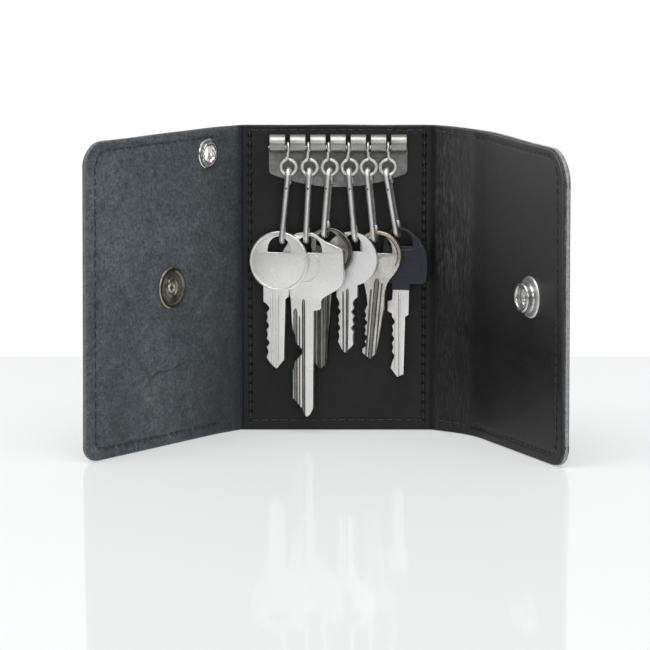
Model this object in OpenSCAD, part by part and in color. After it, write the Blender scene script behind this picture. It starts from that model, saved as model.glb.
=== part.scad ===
// Tri-fold leather key case that stands open on its bottom edges, with a
// six-hook key plate in its centre panel and six keys on the hooks.
// Millimetres, +Z up, front towards -Y. The origin is the middle of the centre
// panel's bottom edge, in the middle of the outer leather's thickness.

/* [Case] */
// Height of the leather at the centre panel
case_h = 106; // [96:1:120]
// Distance between the two first creases, across the centre panel
panel_w = 65.5; // [65.5:0.5:66.5]
// Thickness of the outer leather
leather_t = 1.9; // [1.6:0.1:2.2]
// Thickness of the lining leather
lining_t = 1.0; // [0.8:0.1:1.2]

/* [Left flap, unlined] */
// Width of the strip between the two left creases
left_spine = 11.2; // [11:0.1:11.6]
// Width of the left flap from the first crease to its free edge
left_w = 78; // [70:0.5:78]
// Angle of the left spine strip to the centre panel at rest
left_a1 = 45; // [20:1:60]
// Angle of the left flap to the centre panel at rest
left_a2 = 53; // [48:1:75]
// How much lower the free top corner of the left flap is
left_taper = 1; // [0:0.1:3]

/* [Right flap, lined] */
// Width of the strip between the two right creases
right_spine = 17; // [16.8:0.1:17.6]
// Width of the right flap from the first crease to its free edge
right_w = 85; // [78:0.5:86]
// Angle of the right spine strip to the centre panel at rest
right_a1 = 37; // [20:1:60]
// Angle of the right flap to the centre panel at rest
right_a2 = 66.5; // [48:0.5:75]
// How much lower the free top corner of the right flap is
right_taper = 2.2; // [0:0.1:3]

/* [Snap fastener] */
// Height of the snap above the bottom edge
snap_z = 53.5; // [45:0.5:60]
// Distance of the snap socket from the left first crease
socket_s = 36.2; // [34:0.1:38]
// Distance of the snap stud from the right first crease
stud_s = 60.45; // [58:0.05:62]

/* [Eyelet] */
// Distance of the eyelet from the left first crease
eyelet_s = 16.6; // [16.6:0.1:20]
// Height of the eyelet above the bottom edge
eyelet_z = 97.3; // [90:0.1:98]
// Radius of the eyelet's hole
eyelet_r = 2.5; // [2:0.1:2.6]

/* [Stitching] */
// Distance of the seams from the leather's edges
seam_in = 3.6; // [3:0.1:5]
// Distance from one stitch to the next
stitch_pitch = 3.3; // [3:0.1:4]

/* [Key plate] */
// Width of the key plate
plate_w = 47.5; // [46:0.5:50]
// Thickness of the plate's sheet
plate_t = 0.8; // [0.7:0.1:0.9]
// Outer radius of the plate's rolled barrel
barrel_r = 3.1; // [3:0.1:3.3]
// Distance from one slot to the next
slot_pitch = 6.9; // [6.8:0.05:7]
// Width of each slot
slot_w = 1.7; // [1.6:0.1:1.8]
// Radius of the rod that the swivel rings hang on
rod_r = 0.75; // [0.7:0.05:0.8]

/* [Rings and hooks] */
// Centreline radius of a swivel ring
ring_r = 2.6; // [2.55:0.05:2.65]
// Radius of the ring wire
ring_wire = 0.6; // [0.55:0.01:0.6]
// Radius of the hook wire
hook_wire = 0.85; // [0.75:0.05:0.85]
// Half the distance between a hook's two legs
hook_half = 2.2; // [2.2:0.05:2.25]

/* [Keys] */
// Angle that the keys' faces are turned to the left
key_yaw = 14; // [13:0.5:15]
// Thickness of a key
key_t = 1.9; // [1.7:0.1:1.9]

/* [Hidden] */
$fn = 48;

eps = 0.01;
hw = panel_w/2;              // crease lines at x = -hw and x = +hw
yo = -leather_t/2;           // front face of the outer leather
yi = yo - lining_t;          // front face of the lining
gap = 0.3;                   // plates stop this far from each crease line
bore_fit = 0.05;

black = [0.07, 0.07, 0.075];
suede = [0.24, 0.27, 0.29];
thread = [0.04, 0.04, 0.045];
nickel = [0.72, 0.71, 0.67];
steel = [0.8, 0.79, 0.75];

// ---- places -------------------------------------------------------------

// plate frames: x along the leather away from the centre panel, y outwards
// from the inner face, z up, origin on the crease
module on_left_spine() { mirror([1,0,0]) translate([hw, yo, 0]) rotate([0,0,-left_a1]) children(); }
module on_left_flap() { on_left_spine() translate([left_spine,0,0]) rotate([0,0,left_a1-left_a2]) children(); }
module on_right_spine() { translate([hw, yi, 0]) rotate([0,0,-right_a1]) children(); }
module on_right_flap() { on_right_spine() translate([right_spine,0,0]) rotate([0,0,right_a1-right_a2]) children(); }

// a cylinder along the plate's thickness, from y = a to y = b
module across(x, z, a, b, r) {
  translate([x, b, z]) rotate([90,0,0]) cylinder(r = r, h = b - a);
}

// outline of a flap: straight at the crease, two rounded outer corners
function arc(cx, cy, r, a0, a1, n) = [for (i = [0:n]) let(a = a0 + (a1-a0)*i/n) [cx + r*cos(a), cy + r*sin(a)]];
module flap_shape(w, top, drop, rt, rb) {
  polygon(concat(
    [[gap, 0]],
    arc(w - rb, rb, rb, -90, 0, 9),
    arc(w - rt, top - drop - rt, rt, 0, 86, 10),
    [[gap, top]]));
}
module slab(a, b) { translate([0, b, 0]) rotate([90,0,0]) linear_extrude(b - a) children(); }

// a strip round the outside of a crease, with a short flat end on each side
module bend(r0, r1, ang, h) {
  linear_extrude(h) polygon(concat(
    [[-gap, r0], [-gap, r1]],
    [for (i = [0:12]) let(a = 90 - ang*i/12) [r1*cos(a), r1*sin(a)]],
    [[gap*cos(ang) + r1*sin(ang), -gap*sin(ang) + r1*cos(ang)],
     [gap*cos(ang) + r0*sin(ang), -gap*sin(ang) + r0*cos(ang)]],
    r0 > 0 ? [for (i = [0:12]) let(a = 90 - ang + ang*i/12) [r0*cos(a), r0*sin(a)]] : [[0, 0]]));
}

// ---- leather ------------------------------------------------------------

module outer_centre() color(black)
  translate([-hw + gap, yo, 0]) cube([panel_w - 2*gap, leather_t, case_h]);

module outer_left_spine() color(suede) on_left_spine()
  translate([gap, 0, 0]) cube([left_spine - 2*gap, leather_t, case_h]);

module outer_left_flap() color(suede) on_left_flap() difference() {
  slab(0, leather_t) flap_shape(left_w - left_spine, case_h, left_taper, 8.5, 5.5);
  across(socket_s - left_spine, snap_z, -1, 4, 2.3);
  across(eyelet_s - left_spine, eyelet_z, -1, 4, 3.3);
}

module outer_right_spine() color(black) on_right_spine()
  translate([gap, lining_t, 0]) cube([right_spine - 2*gap, leather_t, case_h]);

module outer_right_flap() color(black) on_right_flap() difference() {
  slab(lining_t, lining_t + leather_t) flap_shape(right_w - right_spine, case_h, right_taper, 12, 7);
  across(stud_s - right_spine, snap_z, -1, 6, 2.3);
}

prong_x = 16;
module lining_centre() color(black) difference() {
  translate([-hw + gap, yi, 0]) cube([panel_w - 2*gap, lining_t, case_h]);
  // slots and recesses for the key plate's prongs
  for (x = [-prong_x, prong_x]) {
    translate([plate_x + x - 1.6, yi - 1, 91.9]) cube([3.2, 3, 1.0]);
    translate([plate_x + x - 1.6, yo - 0.55, 87.4]) cube([3.2, 2, 5.4]);
  }
}
module lining_right_spine() color(black) on_right_spine()
  translate([gap, 0, 0]) cube([right_spine - 2*gap, lining_t, case_h]);

module lining_right_flap() color(black) on_right_flap() difference() {
  slab(0, lining_t) flap_shape(right_w - right_spine, case_h, right_taper, 12, 7);
  across(stud_s - right_spine, snap_z, -1, 6, 2.3);
}

module bend_left_inner() color(suede) mirror([1,0,0]) translate([hw, yo, 0]) bend(0, leather_t, left_a1, case_h);
module bend_left_outer() color(suede) on_left_spine() translate([left_spine,0,0]) bend(0, leather_t, left_a2 - left_a1, case_h);
module bend_right_inner() color(black) translate([hw, yi, 0]) bend(lining_t, lining_t + leather_t, right_a1, case_h);
module bend_right_outer() color(black) on_right_spine() translate([right_spine,0,0]) bend(lining_t, lining_t + leather_t, right_a2 - right_a1, case_h);
module lining_bend_inner() color(black) translate([hw, yi, 0]) bend(0, lining_t, right_a1, case_h);
module lining_bend_outer() color(black) on_right_spine() translate([right_spine,0,0]) bend(0, lining_t, right_a2 - right_a1, case_h);

// ---- stitches: short flat threads on the inner faces --------------------

st_l = stitch_pitch - 0.9;
st_w = 0.55;
st_t = 0.25;
module run_z(x, z0, z1) { for (z = [z0 : stitch_pitch : z1 - st_l]) translate([x - st_w/2, -st_t, z]) cube([st_w, st_t, st_l]); }
module run_x(z, x0, x1) { for (x = [x0 : stitch_pitch : x1 - st_l]) translate([x, -st_t, z - st_w/2]) cube([st_l, st_t, st_w]); }

module stitches_centre() color(thread) translate([0, yi, 0]) {
  run_z(-hw + 2.8, seam_in + 1, case_h - seam_in - 1);
  run_z(hw - 2.8, seam_in + 1, case_h - seam_in - 1);
  run_x(seam_in, -hw + 3.4, hw - 3);
  run_x(case_h - 1.6, -hw + 3.4, hw - 3);
}
module stitches_left_flap() color(thread) on_left_flap() {
  w = left_w - left_spine;
  run_z(w - seam_in, 9, case_h - 13);
  run_x(seam_in, 1.5, w - 8);
  run_x(case_h - left_taper - seam_in, 14, w - 10);
}
module stitches_right_flap() color(thread) on_right_flap() {
  w = right_w - right_spine;
  run_z(w - seam_in, 10, case_h - 16);
  run_x(seam_in, 1.5, w - 9);
  run_x(case_h - right_taper - seam_in, 1.5, w - 14);
}

// ---- eyelet and snap fastener -------------------------------------------

module eyelet() color(nickel) on_left_flap() translate([eyelet_s - left_spine, 0, eyelet_z]) rotate([-90,0,0])
  rotate_extrude() polygon([
    [eyelet_r, -0.75], [eyelet_r + 0.55, -0.95], [eyelet_r + 1.05, -0.75], [eyelet_r + 1.05, -0.55], [eyelet_r + 0.6, -0.5],
    [eyelet_r + 0.6, leather_t], [5, leather_t], [5, leather_t + 0.35], [4.6, leather_t + 0.55],
    [eyelet_r + 0.5, leather_t + 0.6], [eyelet_r, leather_t + 0.4]]);

module eyelet_washer() color(nickel) on_left_flap() translate([eyelet_s - left_spine, 0, eyelet_z]) rotate([-90,0,0])
  rotate_extrude() polygon([
    [eyelet_r + 0.62, 0], [5.05, 0], [5.05, -0.2], [4.5, -0.5], [eyelet_r + 0.62, -0.5]]);

// inner cap on the flesh side, with its hollow post through the leather
module socket_post() color(nickel) on_left_flap() translate([socket_s - left_spine, 0, snap_z]) rotate([-90,0,0])
  rotate_extrude() polygon([
    [0, 0.6], [0.7, 0.6], [0.9, -0.1], [1.3, -0.2], [1.7, 0], [2.1, 0], [2.4, -0.45], [2.9, -0.6], [3.3, -0.3],
    [5.4, -0.3], [5.8, -0.7], [6.8, -0.7], [7.15, -0.35], [7.15, 0],
    [2.2, 0], [2.2, leather_t + 0.4], [1.2, leather_t + 0.4], [1.2, 0.9], [0, 0.9]]);

// female half on the outer side
module snap_socket() color(nickel) on_left_flap() translate([socket_s - left_spine, leather_t, snap_z]) rotate([-90,0,0])
  rotate_extrude() polygon([
    [2.25, 0], [6.9, 0], [6.9, 0.6], [6.4, 2.9], [5.9, 3.3], [5.45, 3.3], [5.45, 0.4], [2.25, 0.4]]);

// male half on the lining side: flange, neck and rolled head
module snap_stud() color(nickel) on_right_flap() translate([stud_s - right_spine, 0, snap_z]) rotate([90,0,0])
  rotate_extrude() polygon([
    [2.25, 0], [7, 0], [7, 0.45], [6.6, 0.75], [5, 0.8], [4.6, 1.2], [4.55, 2.0], [5.0, 2.6], [5.05, 3.3], [4.6, 3.8],
    [4.0, 3.85], [3.5, 3.5], [3.3, 1.4], [2.25, 1.2]]);

// decorative cap on the outer side, with its post through both leathers
module stud_cap() color(nickel) on_right_flap() translate([stud_s - right_spine, lining_t + leather_t, snap_z]) rotate([-90,0,0])
  rotate_extrude() polygon([
    [0, 1.9], [3.5, 1.75], [6, 1.2], [7.4, 0.4], [7.5, 0], [2.2, 0], [2.2, -4.6], [1.9, -4.9], [1.4, -4.9], [1.1, -4.6], [1.1, -0.6], [0, -0.6]]);

// ---- key plate ----------------------------------------------------------

plate_x = 0.35;
// the roll sits just inside the back of the flat part
barrel_y = yi - barrel_r - 0.05;
barrel_z = 100;
rod_y = yi - barrel_r - 0.6;
rod_z = barrel_z - 1.3;
plate_side_z = 89.6;
plate_mid_z = 84.8;
sag = plate_side_z - plate_mid_z;
plate_arc = (pow(plate_w/2, 2) + sag*sag)/(2*sag);
slots = [for (i = [0:5]) plate_x + (i - 2.5)*slot_pitch];

module key_plate() color([0.5, 0.5, 0.47]) {
  difference() {
    union() {
      // flat part with its curved lower edge
      translate([plate_x, yi, 0]) rotate([90,0,0]) linear_extrude(plate_t) intersection() {
        translate([-plate_w/2, plate_mid_z - 1]) square([plate_w, barrel_z - plate_mid_z + 1]);
        translate([0, plate_mid_z + plate_arc]) circle(r = plate_arc, $fn = 96);
      }
      // rolled barrel
      translate([plate_x - plate_w/2 + 0.3, barrel_y, barrel_z]) rotate([0,90,0]) difference() {
        cylinder(r = barrel_r, h = plate_w - 0.6);
        translate([0,0,-1]) cylinder(r = barrel_r - plate_t, h = plate_w + 2);
      }
    }
    for (x = slots) {
      translate([x - slot_w/2, barrel_y - barrel_r - 1, 90]) cube([slot_w, barrel_r*2 + 1 - plate_t - 0.15, 20]);
      translate([x - slot_w/2, barrel_y - barrel_r - 1, 98.6]) cube([slot_w, barrel_r*2 + 2, 20]);
    }
  }
  // two prongs through the lining, bent down behind it
  for (x = [-prong_x, prong_x]) {
    translate([plate_x + x - 1.5, yi - 0.1, 92.05]) cube([3, lining_t + 0.1 - 0.05, 0.75]);
    translate([plate_x + x - 1.5, yo - 0.45, 87.6]) cube([3, 0.4, 5.2]);
  }
}
module ring_rod() color(nickel) translate([plate_x - plate_w/2 + 0.6, rod_y, rod_z]) rotate([0,90,0]) cylinder(r = rod_r, h = plate_w - 1.2);

// ---- swivel rings -------------------------------------------------------

// sideways shift of each ring from its slot
ring_dx = [0.25, 0.6, 0.6, 0.5, 0.15, -0.2];
ring_y = rod_y - 0.55;
ring_z = 92.0;
eye_r = rod_r + ring_wire + bore_fit;

// a round bar between two points
module bar(a, b, r) {
  d = b - a;
  translate(a) rotate([0, acos(d[2]/norm(d)), atan2(d[1], d[0])]) cylinder(r = r, h = norm(d));
}
function ring_c(i) = [slots[i] + ring_dx[i], ring_y, ring_z];
module ring(i) color(nickel) {
  c = ring_c(i);
  // eye round the rod
  translate([slots[i], rod_y, rod_z]) rotate([0,90,0]) rotate_extrude() translate([eye_r, 0]) circle(r = ring_wire, $fn = 24);
  // stalk
  bar([slots[i], rod_y - 0.25, rod_z - eye_r + 0.05], [slots[i], ring_y, ring_z + ring_r], ring_wire);
  // ring
  translate(c) rotate([90,0,0]) rotate_extrude() translate([ring_r, 0]) circle(r = ring_wire, $fn = 24);
}

// ---- hooks --------------------------------------------------------------

// lowest centre point of each hook, where its key hangs
hook_b = [[-18.9, -7.3, 66.6], [-10.6, -7.1, 66.6], [-4.1, -6.45, 68.4], [6.3, -6.6, 67], [13.1, -6.0, 66.9], [21, -5.2, 68.4]];
// turn of each hook about its own length
hook_yaw = [6, 6, 16, 8, 16, 16];
function hook_t(i) = ring_c(i) - [0, 0, ring_r];
top_in = ring_wire + hook_wire + 0.25;
function hook_l(i) = norm(hook_t(i) - hook_b[i]) + top_in;

module in_hook(i) {
  u = (hook_t(i) - hook_b[i])/norm(hook_t(i) - hook_b[i]);
  translate(hook_b[i]) rotate([-asin(u[1]), atan2(u[0], u[2]), 0]) rotate([0,0,-hook_yaw[i]]) children();
}
nose_z = 4.4;
pivot_in = 4.4;
pin_r = 0.32;
// straight legs are drawn down slightly thinner than the bends
leg_r = hook_wire - 0.02;
module half_ring() { rotate([0,-90,0]) rotate([0,0,-90]) rotate_extrude(angle = 180) translate([hook_half, 0]) circle(r = hook_wire, $fn = 24); }
module hook(i) color(nickel) in_hook(i) {
  l = hook_l(i);
  pz = l - pivot_in;
  // lower bend and the nose of the rear leg
  translate([0,0,hook_half]) mirror([0,0,1]) half_ring();
  translate([0, hook_half, hook_half - 0.05]) cylinder(r = leg_r, h = nose_z - hook_half + 0.05);
  // front leg
  translate([0, -hook_half, hook_half - 0.05]) cylinder(r = leg_r, h = l - 2*hook_half + 0.1);
  // upper bend and the forked end that holds the gate
  translate([0,0,l - hook_half]) half_ring();
  difference() {
    translate([0, hook_half, pz - 0.8]) cylinder(r = leg_r, h = l - hook_half - pz + 0.85);
    translate([-0.33, hook_half - 2, pz - 1.5]) cube([0.66, 4, 2.5]);
  }
  translate([-0.75, hook_half, pz]) rotate([0,90,0]) cylinder(r = pin_r, h = 1.5, $fn = 24);
}
module gate(i) color([0.55, 0.54, 0.5]) in_hook(i) {
  pz = hook_l(i) - pivot_in;
  difference() {
    union() {
      translate([-0.27, hook_half, pz]) rotate([0,90,0]) cylinder(r = 0.72, h = 0.54, $fn = 32);
      translate([-0.27, hook_half - 0.6, pz - 1.6]) cube([0.54, 1.2, 1.6]);
    }
    translate([-1, hook_half, pz]) rotate([0,90,0]) cylinder(r = pin_r + bore_fit, h = 2, $fn = 24);
  }
  translate([0, hook_half, nose_z + 0.35]) cylinder(r = 0.66, h = pz - 1.2 - nose_z - 0.35);
}

// ---- keys: drawn flat with the origin where the hook passes --------------

// clearance of a key's hole above the hook's bend
key_rise = 0.3;
module on_hook(i) { translate(hook_b[i] + [0, 0, key_rise]) rotate([0,0,-key_yaw]) children(); }
module plate(t) { translate([0, t/2, 0]) rotate([90,0,0]) linear_extrude(t) children(); }
module groove(x0, x1, z0, z1, side, t, d = 0.45) {
  translate([x0, side > 0 ? t/2 - d : -t/2 - 1, z1]) cube([x1 - x0, d + 1, z0 - z1]);
}
// generic cuts down one edge of a blade: shallow V cuts of the listed depths
function cuts(x, z, pitch, depths, dir) = [for (i = [0:len(depths)-1]) each
  [[x, z - i*pitch], [x + dir*depths[i], z - (i + 0.4)*pitch], [x + dir*depths[i], z - (i + 0.6)*pitch]]];
function arc_points(cx, cz, r, a0, a1, n) = [for (i = [0:n]) let (a = a0 + (a1 - a0)*i/n) [cx + r*cos(a), cz + r*sin(a)]];
function flip(v) = [for (i = [len(v)-1:-1:0]) v[i]];
// hole with a round top and a flat bottom
module d_hole(cx, cz, r, x0, x1) {
  intersection() { translate([cx, cz]) circle(r = r, $fn = 64); translate([x0, cz]) square([x1 - x0, r + 1]); }
}

module key_1() color(steel) on_hook(0) difference() {
  union() {
    plate(key_t) difference() {
      union() {
        translate([-1.4, -7.1]) circle(r = 10, $fn = 96);
        polygon(concat([[-6.5,-12],[-6.5,-21.3]], cuts(-5.4, -22, 3, [1, 0.4, 0.8, 0.4, 1, 0.6], 1),
          [[-5.4,-40.6],[-1.9,-44.4],[0.9,-41.2],[1.4,-20.2],[2.3,-19.4],[2.3,-12]]));
      }
      d_hole(-0.7, -4.1, 5.55, -4.9, 3.1);
    }
  }
  groove(-3.7, -3.0, -18, -41, -1, key_t);
  groove(-2.2, -1.4, -18, -43, -1, key_t);
  groove(-1.6, -0.6, -18, -42, 1, key_t);
}

module key_2() color(steel) on_hook(1) difference() {
  plate(key_t) difference() {
    polygon([[-4.6,2.1],[-1.5,2.8],[1.5,2.9],[3.7,2.2],[5.9,0.3],[9,-1],[12,-2.2],[13,-3.2],[13.4,-5],[13.4,-10.8],[12.9,-12.8],[11.4,-14.6],[9,-16.6],[6.6,-18],
      [5.6,-18.9],[5.6,-23],[4.9,-23.8],[2.9,-24.2],[2.6,-58.2],[1.4,-60.4],[0.4,-61.2],[-0.6,-60.4],[-1.2,-58.4],[-4.6,-54.8],[-4.6,-45],[-3.8,-42],
      [-1.4,-39.2],[-1.4,-37.6],[-3.6,-35.4],[-3.8,-33],[-4.6,-31],[-5,-28],[-5.2,-23],[-5.4,-19],[-7.6,-15.6],[-9.4,-11],[-9.4,-6.2],[-7.9,-3.4],[-6.6,-1.5]]);
    d_hole(1.0, -4.1, 5.75, -3.6, 5.8);
  }
  groove(-1, -0.2, -22, -56, -1, key_t);
  groove(0.6, 1.4, -26, -57, 1, key_t);
}

module key_3() color(steel) on_hook(2) difference() {
  plate(key_t) difference() {
    union() {
      intersection() {
        translate([1.3, -6]) circle(r = 8.6, $fn = 96);
        translate([-4.8, -20]) square([20, 30]);
      }
      polygon([[-3.4,-10],[-3.4,-44.4],[-2.2,-46.2],[-1.4,-46.4],[0.7,-44.6],[2.4,-22],[2.6,-10]]);
    }
    d_hole(1, -3.6, 5.2, -3, 5);
  }
  groove(-1.4, -0.5, -18, -45.5, -1, key_t);
  groove(0.6, 1.2, -18, -43, -1, key_t);
}

module key_4() color(steel) on_hook(3) difference() {
  plate(key_t) difference() {
    union() {
      translate([-1.6, -6.9]) circle(r = 9.35, $fn = 96);
      polygon(concat([[-6.6,-14],[-6.6,-20]], cuts(-6, -21, 2.8, [0.5, 0.9, 0.4, 0.8, 0.5], 1),
        [[-6,-35.6],[-4.3,-39],[-3.3,-39.4],[-0.6,-36.6]], flip(cuts(-0.3, -21, 2.8, [0.4, 0.8, 0.5, 0.9, 0.4], -1)),
        [[0.9,-20],[0.9,-14]]));
    }
    d_hole(-0.9, -4.2, 5.75, -4.5, 2.6);
  }
  groove(-3.6, -2.4, -20, -37.5, -1, key_t);
  groove(-4.4, -3.6, -20, -37, 1, key_t);
}

module key_5() color([0.76, 0.73, 0.64]) on_hook(4) difference() {
  plate(key_t) difference() {
    polygon(concat(arc_points(1, -5.4, 8.3, -24.2, 138.3, 60), [[-5.2,-10.9],[-4.6,-12.4],[-3,-18.6],[-2.6,-22.6]],
      cuts(-3.6, -25, 2.6, [0.5, 0.9, 0.4, 0.8, 0.5], 1),
      [[-4.4,-38],[-4.4,-39.4],[-1.7,-41.6],[0.7,-39.4],[3.2,-24],[3.6,-18],[4.6,-14.6],[7,-11.8],[8.3,-9.6]]));
    d_hole(1.4, -4.7, 6.25, -3, 6.2);
  }
  groove(-0.6, 0.3, -20, -38.5, -1, key_t, 0.5);
}

head6_t = 2.8;
module key_6_blade() color(steel) on_hook(5) difference() {
  plate(1.6) polygon(concat([[-1.6,-14],[-2,-22.6],[-3.6,-23],[-3.6,-26.6],[-2,-27.4]], cuts(-2, -28.6, 3, [0.9, 0.4, 0.7, 0.4, 0.8], 1),
    [[-2,-44.4],[-2.4,-46.4],[-0.1,-49.4],[2.2,-48.4],[2.7,-28.4],[3.9,-27.6],[4.1,-18],[3.6,-14]]));
  groove(0.1, 0.9, -19.6, -47.5, -1, 1.6);
}
module key_6_head() color([0.06, 0.07, 0.11]) on_hook(5) difference() {
  union() {
    // thin top, where the hook passes
    plate(key_t) polygon([[-3,1.4],[-1,2.5],[1.5,2.6],[4.5,1.4],[7.6,-1.4],[8.8,-3],[8.8,-6],[-5.4,-6],[-5.4,-2.2]]);
    // thick grip
    plate(head6_t) polygon([[-5.4,-2.4],[-4.6,-4.6],[6.2,-4.6],[8.2,-2.4],[10.1,-5],[10.7,-8.5],[10.6,-14.8],[9.9,-16.9],[4.6,-17.2],[4.4,-19.1],[-2.1,-19.1],[-2.1,-17],[-4.8,-16.6],[-5.6,-14.5]]);
  }
  plate(10) d_hole(0.7, -3.9, 5.4, -3.2, 5.2);
  // socket for the blade
  plate(1.6) polygon([[-1.6,-14],[-2,-22.6],[4.1,-22],[4.1,-18],[3.6,-14]]);
}

module ring_1() ring(0); module ring_2() ring(1); module ring_3() ring(2);
module ring_4() ring(3); module ring_5() ring(4); module ring_6() ring(5);
module hook_1() hook(0); module hook_2() hook(1); module hook_3() hook(2);
module hook_4() hook(3); module hook_5() hook(4); module hook_6() hook(5);
module gate_1() gate(0); module gate_2() gate(1); module gate_3() gate(2);
module gate_4() gate(3); module gate_5() gate(4); module gate_6() gate(5);

outer_centre();
outer_left_spine();
outer_left_flap();
outer_right_spine();
outer_right_flap();
lining_centre();
lining_right_spine();
lining_right_flap();
bend_left_inner();
bend_left_outer();
bend_right_inner();
bend_right_outer();
lining_bend_inner();
lining_bend_outer();
stitches_centre();
stitches_left_flap();
stitches_right_flap();
eyelet();
eyelet_washer();
snap_socket();
socket_post();
snap_stud();
stud_cap();
key_plate();
ring_rod();
ring_1();
ring_2();
ring_3();
ring_4();
ring_5();
ring_6();
hook_1();
hook_2();
hook_3();
hook_4();
hook_5();
hook_6();
gate_1();
gate_2();
gate_3();
gate_4();
gate_5();
gate_6();
key_1();
key_2();
key_3();
key_4();
key_5();
key_6_blade();
key_6_head();
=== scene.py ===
import bpy, bmesh, math, random
import numpy as np
from mathutils import Vector, Matrix, noise


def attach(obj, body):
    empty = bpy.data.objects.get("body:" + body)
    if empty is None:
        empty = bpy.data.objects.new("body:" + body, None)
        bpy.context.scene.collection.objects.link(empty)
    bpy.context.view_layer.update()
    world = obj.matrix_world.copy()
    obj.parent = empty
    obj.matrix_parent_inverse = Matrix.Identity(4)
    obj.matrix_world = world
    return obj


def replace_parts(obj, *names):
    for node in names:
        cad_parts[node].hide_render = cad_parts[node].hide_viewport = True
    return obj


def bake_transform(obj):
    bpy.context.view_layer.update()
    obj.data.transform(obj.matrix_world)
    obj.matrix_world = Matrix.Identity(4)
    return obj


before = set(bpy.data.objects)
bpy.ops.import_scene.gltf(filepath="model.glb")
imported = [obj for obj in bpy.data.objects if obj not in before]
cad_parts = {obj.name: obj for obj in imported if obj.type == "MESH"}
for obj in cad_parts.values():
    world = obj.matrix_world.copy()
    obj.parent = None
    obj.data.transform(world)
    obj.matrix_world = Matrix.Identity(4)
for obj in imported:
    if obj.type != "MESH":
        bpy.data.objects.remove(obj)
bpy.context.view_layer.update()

S = 0.001
rad = math.radians
coll = bpy.context.scene.collection
random.seed(7)

# ---- camera ------------------------------------------------------------------
cam = bpy.data.objects.new("camera", bpy.data.cameras.new("camera"))
cam.data.lens = 186.2
cam.data.sensor_width = 36
cam.data.clip_start = 0.02
cam.location = (-0.00414, -1.151, 0.2063)
cam.rotation_euler = (rad(90 - 8.39), 0, 0)
coll.objects.link(cam)
bpy.context.scene.camera = cam
bpy.context.scene.view_settings.view_transform = "Standard"

# ---- sizes, in millimetres ----------------------------------------------------
HW, YO, YI, LT, IT, H = 32.75, -0.95, -1.95, 1.9, 1.0, 106.0
LSP, LW, LA1, LA2, LTAP = 11.2, 78.0, 45.0, 53.0, 1.0
RSP, RW, RA1, RA2, RTAP = 17.0, 85.0, 37.0, 66.5, 2.2


def nz(x, y=0.0, z=0.0, o=0.0):
    return noise.noise(Vector((x + o, y + 3.1 * o, z - o)))


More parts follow.
